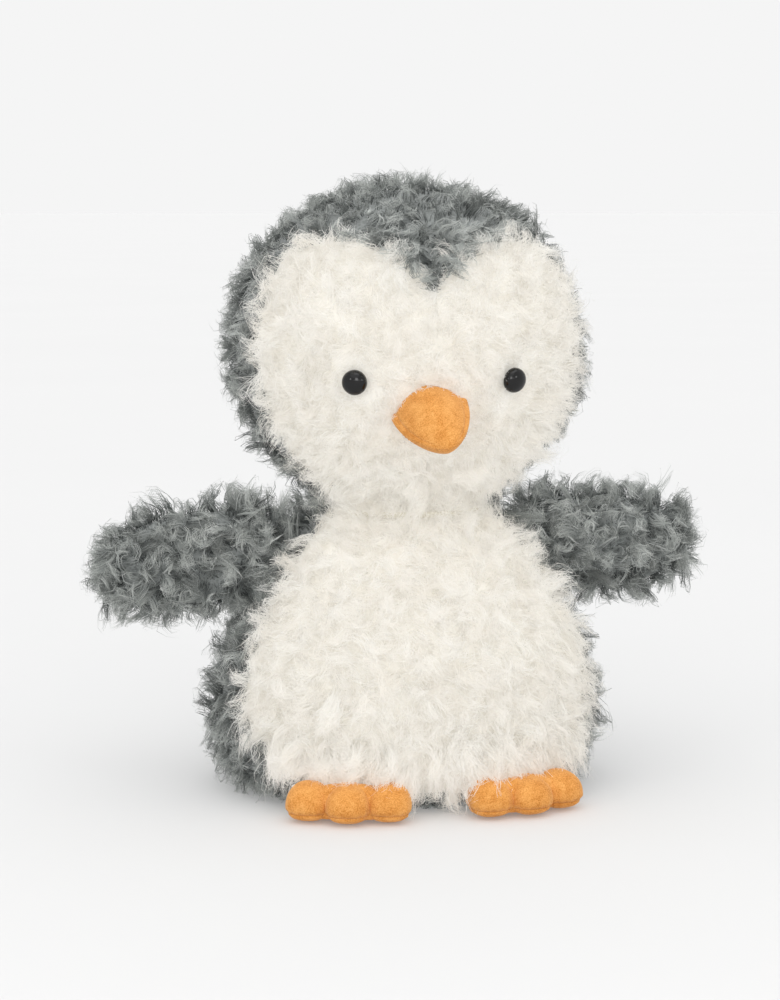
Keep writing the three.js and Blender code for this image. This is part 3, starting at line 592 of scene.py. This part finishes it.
def pile(name, surface, core, locks, look, nap, material, seed, shorten=None):
    """Long curly pile as mesh ribbons, gathered into locks and the locks into curls.

    A curl's line is n H (1 - (1 - t)^1.8) + d L t^1.4 + curl, with n outwards, d along the nap and
    a turning curl of radius r t^0.8. A lock follows its curl and draws towards it by K t^1.2, and a
    hair follows its lock with a crimp of its own. Ribbons face outwards and taper to a point, and
    their shading leans to the cloth's own direction, as light scatters within a deep pile. Every
    curl, lock and hair has sizes of its own, drawn from a range round the look's.
    """
    rng = np.random.default_rng(seed)
    locks = int(locks * QUICK_SHARE)
    root, normal = scatter(surface, locks, core, rng)
    curls = max(12, int(locks / look["locks_per_curl"] / QUICK_SHARE))
    curl_root, curl_normal = scatter(surface, curls, core, rng)

    length = np.ones(len(root)) if shorten is None else shorten(root)
    root, normal, length = root[length > 0], normal[length > 0], length[length > 0]
    away = root[:, None, :] - curl_root[None, :, :]
    distance = (away**2).sum(axis=2) * rng.uniform(0.75, 1.33, (1, len(curl_root)))
    owner = distance.argmin(axis=1)

    t = np.linspace(0, 1, STEPS)[None, :, None]
    count = len(curl_root)
    forward = turned_in_plane(nap(curl_root), curl_normal, rng.normal(0, look["swirl"], count))
    across = np.cross(curl_normal, forward)
    rise = look["stand"] * rng.uniform(0.75, 1.2, (count, 1, 1))
    reach = look["lean"] * rng.uniform(0.5, 1.4, (count, 1, 1))
    radius = look["curl"] * rng.uniform(0.6, 1.4, (count, 1, 1))
    phase = rng.uniform(0, TAU, (count, 1, 1))
    turns = rng.uniform(4.0, 7.0, (count, 1, 1)) * rng.choice((-1, 1), (count, 1, 1))
    grown = radius * t**0.8
    guide = (
        curl_normal[:, None] * rise * (1 - (1 - t) ** 1.8)
        + forward[:, None] * reach * t**1.4
        + across[:, None] * grown * (np.cos(phase + turns * t) - np.cos(phase))
        + (forward + 0.5 * curl_normal)[:, None] * grown * (np.sin(phase + turns * t) - np.sin(phase))
    )

    lock_count = len(root)
    size = (length * rng.uniform(0.8, 1.15, lock_count))[:, None, None]
    gather = look["gather"] * rng.uniform(0.7, 1.15, (lock_count, 1, 1))
    draw = (curl_root[owner] - root)[:, None]
    draw = draw - normal[:, None] * (draw * normal[:, None]).sum(axis=2, keepdims=True)
    frizz_phase = rng.uniform(0, TAU, (lock_count, 1, 3))
    frizz_turns = rng.uniform(4.0, 9.0, (lock_count, 1, 3))
    frizz = look["frizz"] * t * np.sin(frizz_phase + frizz_turns * t)
    lock = guide[owner] * size + draw * gather * t**1.2 + frizz
    inward = np.minimum((lock * normal[:, None]).sum(axis=2, keepdims=True) - CLEARANCE * t, 0)
    lock = lock - normal[:, None] * inward

    hair_of = np.repeat(np.arange(lock_count), HAIRS_PER_LOCK)
    total = len(hair_of)
    outwards = normal[hair_of]
    spread = rng.normal(0, look["spread"], (total, 3))
    spread -= outwards * (spread * outwards).sum(axis=1, keepdims=True)
    loose = rng.random((total, 1, 1)) < look["loose"]
    hair_phase = rng.uniform(0, TAU, (total, 1, 3))
    hair_turns = rng.uniform(5.0, 12.0, (total, 1, 3))
    own = np.where(loose, LOOSE_CRIMP, look["crimp"]) * t * np.sin(hair_phase + hair_turns * t)
    closing = np.where(loose, LOOSE_CLOSE, look["close"]) * t**0.9
    stray_scale, lock_scale = rng.uniform(0.9, 1.25, (total, 1, 1)), rng.uniform(0.8, 1.1, (total, 1, 1))
    scale = np.where(loose, stray_scale, lock_scale)
    line = root[hair_of][:, None] + spread[:, None] * (1 - closing) + lock[hair_of] * scale + own
    line[:, :, 2] = np.maximum(line[:, :, 2], CLEARANCE)

    slope = np.gradient(line, axis=1)
    facing = outwards[:, None] + rng.normal(0, 0.45, (total, 1, 3))
    sideways = unit(np.cross(slope, np.broadcast_to(facing, slope.shape)))
    thickness = look["thickness"] / (QUICK_SHARE**0.5)
    half = 0.5 * thickness * (1 - 0.75 * t**3) * rng.uniform(0.75, 1.2, (total, 1, 1))
    left, right = line - sideways * half, line + sideways * half
    pairs = np.stack((left[:, :-1], right[:, :-1]), axis=2).reshape(total, -1, 3)
    points = np.concatenate((pairs, line[:, -1:]), axis=1).reshape(-1, 3)
    flat = unit(np.cross(sideways, slope))
    shading = unit(look["soft"] * outwards[:, None] + (1 - look["soft"]) * flat)
    shading = np.concatenate((np.repeat(shading[:, :-1], 2, axis=1), shading[:, -1:]), axis=1)

    rungs = np.arange(STEPS - 2)[:, None] * 2
    quads = (rungs + np.array((0, 1, 3, 2))).ravel()
    last = 2 * (STEPS - 2)
    pattern = np.concatenate((quads, (last, last + 1, last + 2)))
    corners = (np.arange(total)[:, None] * (2 * STEPS - 1) + pattern).ravel()
    sizes = np.tile(np.append(np.full(STEPS - 2, 4), 3), total)

    tone = 0.5 + CURL_TONES * rng.standard_normal(count)[owner][hair_of]
    tone = np.clip(tone + HAIR_TONES * rng.standard_normal(total), 0.04, 0.96)
    across_uv = np.where(pattern % 2 == 0, -TONE_BAND, TONE_BAND)
    up_uv = (pattern // 2) / (STEPS - 1)
    across_uv[-1] = 0
    uv = np.stack(
        (tone[:, None] + across_uv, np.broadcast_to(up_uv, (total, len(pattern)))), axis=2
    )
    piece = mesh_piece(name, points, corners, sizes, material, uv.reshape(-1, 2))
    piece.data.normals_split_custom_set_from_vertices(shading.reshape(-1, 3).tolist())
    return piece


# A look is a kind of pile. In millimetres: a curl's stand off the cloth, lean along the nap and curl
# radius; a lock's frizz; a hair's spread from its lock, crimp and thickness. Swirl is how far the nap
# strays, in radians. Gather and close are how far locks draw to their curl and hairs to their lock,
# loose is the share of stray hairs, and soft is how far the shading leans to the cloth's direction.
GREY_LOOK = {
    "stand": 4.6, "lean": 2.4, "curl": 2.2, "swirl": 1.7, "gather": 0.4, "frizz": 1.1,
    "spread": 0.7, "loose": 0.1, "thickness": 0.17, "locks_per_curl": 3.5, "close": 0.84,
    "crimp": 0.25, "soft": 0.15,
}
HOOD_LOOK = {**GREY_LOOK, "stand": 3.8, "curl": 1.8}
WING_LOOK = {**GREY_LOOK, "stand": 5.2, "lean": 1.8, "curl": 2.5, "gather": 0.55, "frizz": 1.4}
ROOT_LOOK = {**GREY_LOOK, "stand": 5.5, "lean": 5.0, "swirl": 0.8}
TIP_LOOK = {**WING_LOOK, "lean": 3.4, "swirl": 3.0}
PEAK_LOOK = {**GREY_LOOK, "stand": 3.6, "lean": 4.5, "swirl": 0.6}
CREAM_LOOK = {
    "stand": 4.6, "lean": 3.6, "curl": 2.0, "swirl": 1.3, "gather": 0.38, "frizz": 1.0,
    "spread": 0.95, "loose": 0.25, "thickness": 0.15, "locks_per_curl": 3.5, "close": 0.55,
    "crimp": 0.4, "soft": 0.1,
}
FACE_LOOK = {**CREAM_LOOK, "stand": 3.9, "curl": 1.8, "lean": 3.2}
FRINGE_LOOK = {**CREAM_LOOK, "stand": 7.5, "lean": 8.0, "swirl": 0.6, "curl": 1.6}
BACK_FRINGE_LOOK = {**GREY_LOOK, "stand": 4.5, "lean": 5.5, "swirl": 0.7}
BASE_LOOK = {**GREY_LOOK, "stand": 2.2, "lean": 3.0, "curl": 1.2}

EYES = [np.array((side * EYE_X, EYE_Y, EYE_Z)) for side in (1, -1)]


def nap_from(source, pull):
    """Pile that is brushed away from a point, and drawn along a fixed direction as well."""
    return lambda point: unit(point - np.asarray(source)) + np.asarray(pull)


def nap_along(direction):
    """Pile that is brushed in one direction."""
    return lambda point: np.broadcast_to(np.asarray(direction, float), point.shape)


def face_nap(point):
    """Away from the beak, and close to an eye away from that eye."""
    brushed = unit(point - BEAK_BASE)
    for eye in EYES:
        gap = np.linalg.norm(point - eye, axis=1, keepdims=True)
        brushed = brushed + 3 * unit(point - eye) * np.exp(-((gap / 8) ** 2))
    return brushed + np.array((0, 0, -0.25))


def face_length(point):
    """Shorter round the eyes and the beak and beside the hood's peak, and none under eyes and beak."""
    share = np.ones(len(point))
    for eye in EYES:
        gap = np.linalg.norm(point - eye, axis=1)
        near = 0.34 + 0.66 * smoothstep(gap, 4.2, 13)
        share *= np.where(gap < 4.0, 0, near)
    rise = point[:, 2] - BEAK_BASE[2]
    beak = np.hypot(point[:, 0] / BEAK_HALF_WIDTH, rise / BEAK_BARE_HALF_HEIGHT)
    front = point[:, 1] < -20
    near = 0.42 + 0.58 * smoothstep(beak, 0.95, 2.0)
    peak = np.where(point[:, 2] > 140, 0.75 + 0.25 * smoothstep(np.abs(point[:, 0]), 2, 9), 1)
    return share * peak * np.where(front & (beak < 0.9), 0, np.where(front, near, 1))


def shoulder_length(point):
    """Longer above the wings, where it fills the corner at the neck."""
    return 1 + 0.7 * smoothstep(point[:, 2], 66, 84)


# ---- the panels ----
HEAD, TORSO = ("head", HEAD_CENTRE), ("torso", TORSO_CORE)
BACKINGS = {"grey": GREY_BACKING, "cream": CREAM_BACKING}
PILES = {"grey": GREY_PILE, "cream": CREAM_PILE}


def settle(piece, body, slot, *nodes, fill=None):
    """Puts a piece on the body that carries it and hides the CAD nodes it stands for. Its finish (slot)
    and how full it is (fill) are not used.
    """
    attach(piece, body)
    if nodes:
        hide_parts(*nodes)


def backing(name, surface, where, colour, node, rows=40, columns=48):
    """One panel's backing cloth, which stands for its CAD node."""
    body, core = where
    piece = surface_piece(name, [surface], rows, columns, BACKINGS[colour], core)
    wall = piece.modifiers.new("cloth thickness", "SOLIDIFY")
    wall.thickness = BACKING_THICKNESS * MM
    wall.offset = -1
    settle(piece, body, f"{colour}_pile", node, fill=0.85)


def furred(name, surface, where, colour, locks, look, nap, seed, shorten=None):
    """The pile of one panel, or of a strip of one, on the body that its cloth rides."""
    body, core = where
    piece = pile(name, surface, core, locks, look, nap, PILES[colour], seed, shorten)
    settle(piece, body, f"{colour}_pile")


for side, own in ((1, "left"), (-1, "right")):
    hood, face, back = hood_half(side), face_half(side), back_half(side)
    backing(f"hood_backing_{own}", hood, HEAD, "grey", f"hood_panel_{own}")
    backing(f"face_backing_{own}", face, HEAD, "cream", f"face_panel_{own}")
    backing(f"back_backing_{own}", back, TORSO, "grey", f"back_panel_{own}")
    nap = nap_from((0, -20, 165), (0, 0.3, -0.5))
    furred(f"hood_pile_{own}", hood, HEAD, "grey", 2000, HOOD_LOOK, nap, 11 + side)
    furred(f"face_pile_{own}", face, HEAD, "cream", 1800, FACE_LOOK, face_nap, 21 + side, face_length)
    tummy, nap = tummy_strip(0, side), nap_from((0, -20, 75), (0, 0, -0.6))
    furred(f"tummy_pile_{own}", tummy, TORSO, "cream", 2000, CREAM_LOOK, nap, 31 + side)
    nap = nap_along((side * 0.3, 0.2, -1))
    furred(f"back_pile_{own}", back, TORSO, "grey", 2000, GREY_LOOK, nap, 41 + side, shoulder_length)
    wing = (f"wing_{own}", WING_PIVOT * (side, 1, 1) + np.array((side * 18.0, 0, 0)))
    for panel, front in (("front", True), ("back", False)):
        half, name = wing_half(side, front), f"wing_{own}_{panel}"
        backing(f"{name}_backing", half, wing, "grey", f"{name}_panel", 32, 24)
        seed, nap = 51 + 2 * side + front, nap_along((side, 0.1, -0.25))
        furred(f"{name}_pile", half, wing, "grey", 620, WING_LOOK, nap, seed)
        root, nap = wing_part(side, front, 0.04, 0.24), nap_along((-side, 0, 0.5))
        furred(f"{name}_root_pile", root, wing, "grey", 170, ROOT_LOOK, nap, seed + 10)
        tip, nap = wing_part(side, front, 0.8, 1.0), nap_along((0, 0, -1))
        furred(f"{name}_tip_pile", tip, wing, "grey", 120, TIP_LOOK, nap, seed + 30)
    peak, nap = hood_peak(side), nap_along((side * 0.7, -0.4, -0.6))
    furred(f"hood_peak_pile_{own}", peak, HEAD, "grey", 110, PEAK_LOOK, nap, 91 + side)


def tummy_foot(u, v):
    """The strip of the tummy panel that hangs over the feet."""
    return tummy_strip(-0.98, 0.98)(u, 0.1 + 0.1 * v)


def base_rim(u, v):
    """The outer part of the base panel."""
    return base_surface(u, 0.62 + 0.38 * v)


furred("tummy_fringe", tummy_foot, TORSO, "cream", 760, FRINGE_LOOK, nap_along((0, -0.3, -1)), 35)
nap = nap_along((0, 0.3, -1))
furred("back_fringe", back_fringe_surface, TORSO, "grey", 520, BACK_FRINGE_LOOK, nap, 36)
filling = surface_piece("torso_filling", [torso_filling], 48, 48, FIBRE_FILL, TORSO_CORE)
settle(filling, "torso", "fibre_fill", "body_fill")
backing("tummy_backing", tummy_strip(-1, 1), TORSO, "cream", "tummy_panel", 40, 64)
backing("base_backing", base_surface, TORSO, "grey", "base_panel", 24, 80)
furred("base_pile", base_rim, TORSO, "grey", 900, BASE_LOOK, nap_from((0, 0, 4), (0, 0, 0)), 61)


def neck_half(front):
    """Half of the stuffed neck: a ball's front or back, to 0.95 radians above and below its middle."""

    def surface(u, v):
        turn, rise = (u - 0.5) * math.pi, (v - 0.5) * 1.9
        facing = -1 if front else 1
        out = NECK_RADIUS * np.cos(rise)
        x, y = out * np.sin(turn), facing * out * np.cos(turn)
        return np.stack((x, y, NECK_Z + NECK_RADIUS * np.sin(rise)), axis=1)

    return surface


NECK = ("neck", np.array((0, 0, NECK_Z)))
NECK_LOOK = {**CREAM_LOOK, "stand": 8.0, "lean": 2.5, "curl": 2.6}
NAPE_LOOK = {**GREY_LOOK, "stand": 9.5, "lean": 4.0}
downwards = nap_along((0, 0, -1))
furred("neck_pile_front", neck_half(True), NECK, "cream", 420, NECK_LOOK, downwards, 71)
furred("neck_pile_back", neck_half(False), NECK, "grey", 640, NAPE_LOOK, downwards, 72)


# ---- feet ----
SOLE_SEAM_SHARE = ((TOE_CENTRE_Z - SOLE_SEAM_Z) / TOE_LOW) ** (1 / TOE_SQUARENESS)
SOLE_SEAM_LEVEL = -math.asin(SOLE_SEAM_SHARE)
LID_SHARE = 0.12  # this first share of a foot shell's second parameter is the lid at its seam


def foot_placed(side, points, pivot=FOOT_PIVOT):
    """Points, or directions if the pivot is 0, taken from the foot's own frame to its place."""
    return points @ turn_matrix(2, side * FOOT_TURN_OUT).T + pivot * np.array((side, 1, 1))


def toe_outline(around, x, reach, fan):
    """Centre-line points and outward directions round one toe, seen from above, in the foot's frame.

    The centre line slides from the heel to the tip as the outline turns, so the toe is a stadium, and
    the directions are cos(a)^m and sin(a)^m with their signs kept, which squares its ends a little.
    """
    angle = around * TAU
    out = np.stack((np.cos(angle), np.sin(angle)), axis=1)
    tip, heel = TOE_RADIUS - reach, -TOE_RADIUS - 0.3
    slide = np.clip(0.5 - 1.1 * np.sin(angle), 0, 1)
    centre = np.stack((np.full_like(angle, x), heel + (tip - heel) * slide), axis=1)
    turn = turn_matrix(2, fan)[:2, :2]
    out = np.sign(out) * np.abs(out) ** TOE_PLAN_SQUARENESS
    return centre @ turn.T, out @ turn.T


def toe_shell(side, x, reach, fan, upper):
    """A plump toe: at level q it stands R cos(q)^p outside its centre line, at height z + H sin(q)^p.

    H is less below the widest level than above it, where it also grows from the tip backwards. The
    seam is drawn in with small puckers beside it, and a lid closes the shell there.
    """

    def surface(u, v):
        centre, out = toe_outline(u, x, reach, fan)
        lid = ramp(v, 0, LID_SHARE)
        shell = ramp(v, LID_SHARE, 1)
        end = math.pi / 2 if upper else -math.pi / 2
        level = SOLE_SEAM_LEVEL + (end - SOLE_SEAM_LEVEL) * shell**0.9
        drawn = SEAM_DRAW * np.exp(-(((level - SOLE_SEAM_LEVEL) / 0.16) ** 2))
        pucker = PUCKER * np.sin(u * TAU * PUCKERS) * np.exp(-(((level - SOLE_SEAM_LEVEL) / 0.5) ** 2))
        radius = TOE_RADIUS * np.abs(np.cos(level)) ** TOE_SQUARENESS - drawn + pucker
        plan = centre + out * np.maximum(radius * lid, 0)[:, None]
        middle = centre.mean(axis=0)
        plan = middle + (plan - middle) * lid[:, None]
        flat = np.cos(level)[:, None] < 1e-6
        plan = np.where(flat, middle, plan)
        z = np.sign(level) * np.abs(np.sin(level)) ** TOE_SQUARENESS
        back = np.clip((plan[:, 1] + reach) / reach, 0, 1)
        z = TOE_CENTRE_Z + z * np.where(z > 0, TOE_HIGH * (0.84 + 0.24 * back), TOE_LOW)
        z = np.maximum(z, 0.35) + (0.06 if upper else -0.06)
        return foot_placed(side, np.column_stack((plan, z)))

    return surface


def foot_pad(side, upper):
    """The pad that joins the toes behind: an ellipsoid, parted at the seam's level and flat below."""
    low = math.asin((SOLE_SEAM_Z - PAD_Z) / PAD_HALF_HEIGHT)

    def surface(u, v):
        angle = u * TAU
        end = math.pi / 2 if upper else -math.pi / 2
        level = low + (end - low) * ramp(v, LID_SHARE, 1)
        out = np.cos(level) * ramp(v, 0, LID_SHARE)
        x, y = PAD_HALF_WIDTH * out * np.cos(angle), PAD_Y + PAD_HALF_DEPTH * out * np.sin(angle)
        z = np.maximum(PAD_Z + PAD_HALF_HEIGHT * np.sin(level), PAD_LOWEST)
        return foot_placed(side, np.stack((x, y, z), axis=1))

    return surface


def stitches(name, starts, ends, outwards, radius, material):
    """Short thread stitches: each a six-sided tube with closed ends, swelling in its middle.

    Along a stitch the place is start + (end - start) s, and it stands off by r/2 sin(pi s). It is
    r sqrt(1 - (2s - 1)^4) thick.
    """
    sides, rings = 6, 5
    s = np.linspace(0, 1, rings)[None, :, None, None]
    angle = (np.arange(sides) / sides * TAU)[None, None, :, None]
    along = unit(ends - starts)
    over = unit(outwards - along * (outwards * along).sum(axis=1, keepdims=True))
    side = np.cross(along, over)
    swell = radius * np.sqrt(np.clip(1 - (2 * s - 1) ** 4, 0.02, 1))
    spine = starts[:, None, None] + (ends - starts)[:, None, None] * s
    spine = spine + over[:, None, None] * radius * 0.5 * np.sin(math.pi * s)
    rim = over[:, None, None] * np.cos(angle) + side[:, None, None] * np.sin(angle)
    points = (spine + rim * swell).reshape(len(starts), -1, 3)
    ring = np.arange(rings - 1)[:, None] * sides
    here, there = np.arange(sides), (np.arange(sides) + 1) % sides
    quads = np.stack((ring + here, ring + there, ring + sides + there, ring + sides + here), axis=2)
    caps = np.concatenate((here[::-1], (rings - 1) * sides + here))
    pattern = np.concatenate((quads.ravel(), caps))
    sizes = np.tile(np.concatenate((np.full(sides * (rings - 1), 4), (sides, sides))), len(starts))
    corners = (np.arange(len(starts))[:, None] * sides * rings + pattern).ravel()
    return mesh_piece(name, points.reshape(-1, 3), corners, sizes, material)


def toe_stitches(side):
    """Starts, ends and outward directions of the stitches in the sole seam, round each toe's front."""
    half_stitch, sunk, above_seam = 0.011, 0.12, 0.75
    starts, ends, outs = [], [], []
    radius = TOE_RADIUS * math.cos(SOLE_SEAM_LEVEL) ** TOE_SQUARENESS
    for x, reach, fan in TOES:
        around = np.linspace(0.53, 0.97, 12)
        for shift, places in ((-half_stitch, starts), (half_stitch, ends)):
            centre, out = toe_outline(around + shift, x, reach, fan)
            plan = centre + out * (radius - sunk)
            level = np.full(len(plan), SOLE_SEAM_Z + above_seam)
            places.append(foot_placed(side, np.column_stack((plan, level))))
        outs.append(foot_placed(side, np.column_stack((out, np.full(len(out), 0.2))), 0))
    return np.concatenate(starts), np.concatenate(ends), np.concatenate(outs)


def toe_gather(side, x):
    """Starts, ends and directions of the thread round the foot between two toes, on an ellipse."""
    angle = np.linspace(0, TAU, 25)
    y = GATHER_Y + GATHER_HALF_DEPTH * np.cos(angle)
    z = GATHER_Z + GATHER_HALF_HEIGHT * np.sin(angle)
    ring = foot_placed(side, np.column_stack((np.full(len(angle), x), y, z)))
    middle = foot_placed(side, np.array((x, GATHER_Y, GATHER_Z)))
    return ring[:-1], ring[1:], ring[:-1] - middle


for side, own in ((1, "left"), (-1, "right")):
    foot_core = np.array((side * 25.0, -48.0, 5.0))
    for part, upper in (("upper", True), ("sole", False)):
        shells = [toe_shell(side, x, reach, fan, upper) for x, reach, fan in TOES]
        shells.append(foot_pad(side, upper))
        name = f"foot_{own}_{part}"
        piece = surface_piece(f"{name}_suede", shells, 26, 97, ORANGE_SUEDE, foot_core)
        settle(piece, f"foot_{own}", "orange_suede", name, fill=0.8)
    seam = stitches(f"foot_{own}_seam_stitches", *toe_stitches(side), SOLE_STITCH, ORANGE_THREAD)
    settle(seam, f"foot_{own}", "orange_thread")
    for gap, x in (("inner", -GATHER_X * side), ("outer", GATHER_X * side)):
        thread = toe_gather(side, x)
        gather = stitches(f"foot_{own}_{gap}_gather", *thread, GATHER_THREAD, ORANGE_THREAD)
        settle(gather, f"foot_{own}", "orange_thread", f"foot_{own}_toe_thread_{gap}")


# ---- beak ----
def beak_panel(upper):
    """The beak: rounded kite sections, |x/w|^n + |z/h|^n = 1, that shrink as (1 - s^2.1)^0.68.

    n grows from 1.25 at the root to 1.65 at the tip. The panels part just above the kite's side
    corners, where the seam draws them in a little.
    """
    placing = turn_matrix(0, BEAK_DROOP) @ turn_matrix(1, BEAK_ROLL)
    root_share, seam_draw = 0.08, 0.07

    def surface(u, v):
        along = np.sin(ramp(v, root_share, 1) * math.pi / 2)
        size = (1 - along**2.1) ** 0.68 * ramp(v, 0, root_share)
        start, end = BEAK_SEAM, (math.pi if upper else -math.pi) - BEAK_SEAM
        angle = start + (end - start) * u
        power = 1.25 + 0.4 * along
        reach = (np.abs(np.cos(angle)) ** power + np.abs(np.sin(angle)) ** power) ** (-1 / power)
        edge = np.minimum(np.abs(angle - start), np.abs(angle - end))
        reach = reach * (1 - seam_draw * np.exp(-((edge / 0.09) ** 2)))
        x = BEAK_HALF_WIDTH * size * reach * np.cos(angle) + BEAK_VEER * along**2
        tall = np.where(np.sin(angle) > 0, BEAK_HALF_HEIGHT, BEAK_UNDERSIDE)
        z = tall * size * reach * np.sin(angle)
        y = BEAK_PIVOT_AHEAD + BEAK_ROOT - along * (BEAK_LENGTH + BEAK_ROOT)
        return np.stack((x, y, z), axis=1) @ placing.T + BEAK_BASE - (0, BEAK_PIVOT_AHEAD, 0)

    return surface


def beak_stitches():
    """Stitches along both sides of the seam between the beak's panels, on the lower panel."""
    surface = beak_panel(False)
    starts, ends, outs = [], [], []
    level, half_stitch = np.linspace(0.3, 0.93, 15), 0.012
    for u in (0.12, 0.88):
        across = np.full_like(level, u)
        near, far = surface(across, level - half_stitch), surface(across, level + half_stitch)
        starts.append(near)
        ends.append(far)
        outs.append(near - surface(np.full_like(level, 0.5), level) + (0, -2, 0))
    return np.concatenate(starts), np.concatenate(ends), unit(np.concatenate(outs))


beak_core = BEAK_BASE + (0, -3, -1)
for part, upper in (("upper", True), ("lower", False)):
    beak = surface_piece(f"beak_{part}_suede", [beak_panel(upper)], 48, 72, ORANGE_SUEDE, beak_core)
    settle(beak, "head", "orange_suede", f"beak_{part}", fill=0.8)
beak_seam = stitches("beak_seam_stitches", *beak_stitches(), BEAK_STITCH, ORANGE_THREAD)
settle(beak_seam, "head", "orange_thread")


# ---- eyes ----
def eye_surface(side):
    """A safety eye: a low rim round a dome, r = R cos(q), h = H sin(q)^0.95, and a straight stem.

    It sits square on the head's form with its pile pressed flat, 0.3 mm off it.
    """
    a, b, c = HEAD_AXES + BACKING_INSET
    drop = EYE_Z - HEAD_CENTRE[2]
    y = -b * math.sqrt(1 - (EYE_X / a) ** 2 - (drop / c) ** 2)
    axis = unit(np.array((side * EYE_X / a**2, y / b**2, drop / c**2)))
    across = unit(np.cross(axis, (0.0, 0.0, 1.0)))
    up = np.cross(across, axis)
    seat = np.array((side * EYE_X, HEAD_CENTRE[1] + y, EYE_Z)) + axis * 0.3

    def surface(u, v):
        level = np.clip((v - 0.3) / 0.7, 0, 1) * math.pi / 2
        stem, out = v < 0.15, EYE_DOME_RADIUS * np.cos(level)
        out = np.where(stem, EYE_STEM_RADIUS, out) * np.clip(v / 0.05, 0, 1)
        rise = EYE_STEM_LENGTH * (np.clip((v - 0.05) / 0.1, 0, 1) - 1)
        rise = np.where(stem, rise, 0) + EYE_RIM * smoothstep(v, 0.2, 0.3)
        rise = rise + EYE_DOME_HEIGHT * np.sin(level) ** 0.95
        angle = u * TAU
        plane = across * np.cos(angle)[:, None] + up * np.sin(angle)[:, None]
        return seat + plane * out[:, None] + axis * rise[:, None]

    return surface, seat - axis * 2


for side, own in ((1, "left"), (-1, "right")):
    surface, inside = eye_surface(side)
    eye = surface_piece(f"eye_{own}_dome", [surface], 61, 49, EYE_PLASTIC, inside)
    settle(eye, "head", "eye_plastic", f"eye_{own}")


# ---- label ----
def label_surface(u, v):
    """A blank folded ribbon: out of the back seam, over a fold of 1 mm, and down with a slow wave."""
    fold_share, fold_drop, wave = 0.2, 0.9, 0.35
    x = (u - 0.5) * LABEL_WIDTH
    out = ramp(v, 0, fold_share) * math.pi / 2
    down = ramp(v, fold_share, 1)
    y = LABEL_ROOT_Y + LABEL_OUT * np.sin(out) + wave * np.sin(down * 5 + x * 0.15) * down
    z = LABEL_ROOT_Z - fold_drop * (1 - np.cos(out)) - LABEL_DROP * down
    return np.stack((x, y, z), axis=1)


label = surface_piece("care_label_ribbon", [label_surface], 30, 14, SATIN, TORSO_CORE)
fold = label.modifiers.new("ribbon thickness", "SOLIDIFY")
fold.thickness = 0.25 * MM
settle(label, "torso", "label_satin", "care_label")


# ---- the CAD nodes that stay ----
KEPT = {
    "_fill": FIBRE_FILL,
    "eye_washer": WASHER_PLASTIC,
    "neck_thread": PALE_THREAD,
    "closing_stitch": PALE_THREAD,
    "pellet_pouch": COTTON,
    "pellet_charge": PELLETS,
}
for node_name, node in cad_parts.items():
    for part, material in KEPT.items():
        if part in node_name:
            for material_slot in node.material_slots:
                material_slot.material = material


# ---- stage, light and camera ----
FLOOR_HALF_SIZE = 60000.0  # so wide that its far edge is at eye level
floor_points = np.array(((-1, -1, 0), (1, -1, 0), (1, 1, 0), (-1, 1, 0))) * FLOOR_HALF_SIZE
floor = mesh_piece("studio_floor", floor_points, np.arange(4), np.array([4]), PAPER)

world = bpy.data.worlds.new("soft studio")
bpy.context.scene.world = world
world.use_nodes = True
world.node_tree.nodes["Background"].inputs["Color"].default_value = linear(0xF5F5F5)
world.node_tree.nodes["Background"].inputs["Strength"].default_value = 1.0


def sun(name, azimuth, elevation, strength, shadows=True):
    """A distant light as soft as a 60 degree disc, from an azimuth (0 is in front) and an elevation."""
    lamp = bpy.data.lights.new(name, "SUN")
    lamp.energy, lamp.angle, lamp.use_shadow = strength, math.radians(60), shadows
    holder = bpy.data.objects.new(name, lamp)
    holder.rotation_euler = (math.radians(90 - elevation), 0, math.radians(azimuth))
    bpy.context.scene.collection.objects.link(holder)


def softbox(name, place, size, power):
    """A small square softbox that looks at the head, for the sparks in the eyes. Sizes are metres."""
    lamp = bpy.data.lights.new(name, "AREA")
    lamp.energy, lamp.size = power, size
    holder = bpy.data.objects.new(name, lamp)
    holder.location = place
    aim = unit(np.array((0, -0.03, 0.12)) - np.array(place))
    holder.rotation_euler = (math.acos(-aim[2]), 0, math.atan2(-aim[0], aim[1]))
    bpy.context.scene.collection.objects.link(holder)


sun("key", -25, 50, 0.36)
sun("top wash", 0, 85, 0.98, shadows=False)
sun("low wash", -5, -12, 0.5, shadows=False)
sun("back wash", 175, 25, 0.35, shadows=False)
softbox("front", (-0.15, -0.8, 0.3), 0.25, 0.7)
softbox("spark left", (-0.7, -0.6, 0.3), 0.1, 0.35)
softbox("spark right", (0.5, -0.75, 0.3), 0.1, 0.35)

VIEW_AZIMUTH, VIEW_ELEVATION, VIEW_DISTANCE = -11.5, 6.5, 0.7  # degrees, and metres
azimuth, elevation = math.radians(VIEW_AZIMUTH), math.radians(VIEW_ELEVATION)
target = np.array((0, 0, 0.090))
lens = bpy.data.cameras.new("product lens")
lens.lens, lens.sensor_width = 85.8, 36.0
lens.shift_x, lens.shift_y = -0.014, -0.0224
lens.clip_start, lens.clip_end = 0.01, 200
camera = bpy.data.objects.new("camera", lens)
level = math.cos(elevation)
sight = np.array((math.sin(azimuth) * level, -math.cos(azimuth) * level, math.sin(elevation)))
camera.location = target + VIEW_DISTANCE * sight
camera.rotation_euler = (math.pi / 2 - elevation, 0, azimuth)
bpy.context.scene.collection.objects.link(camera)
bpy.context.scene.camera = camera
bpy.context.scene.view_settings.view_transform = "Standard"
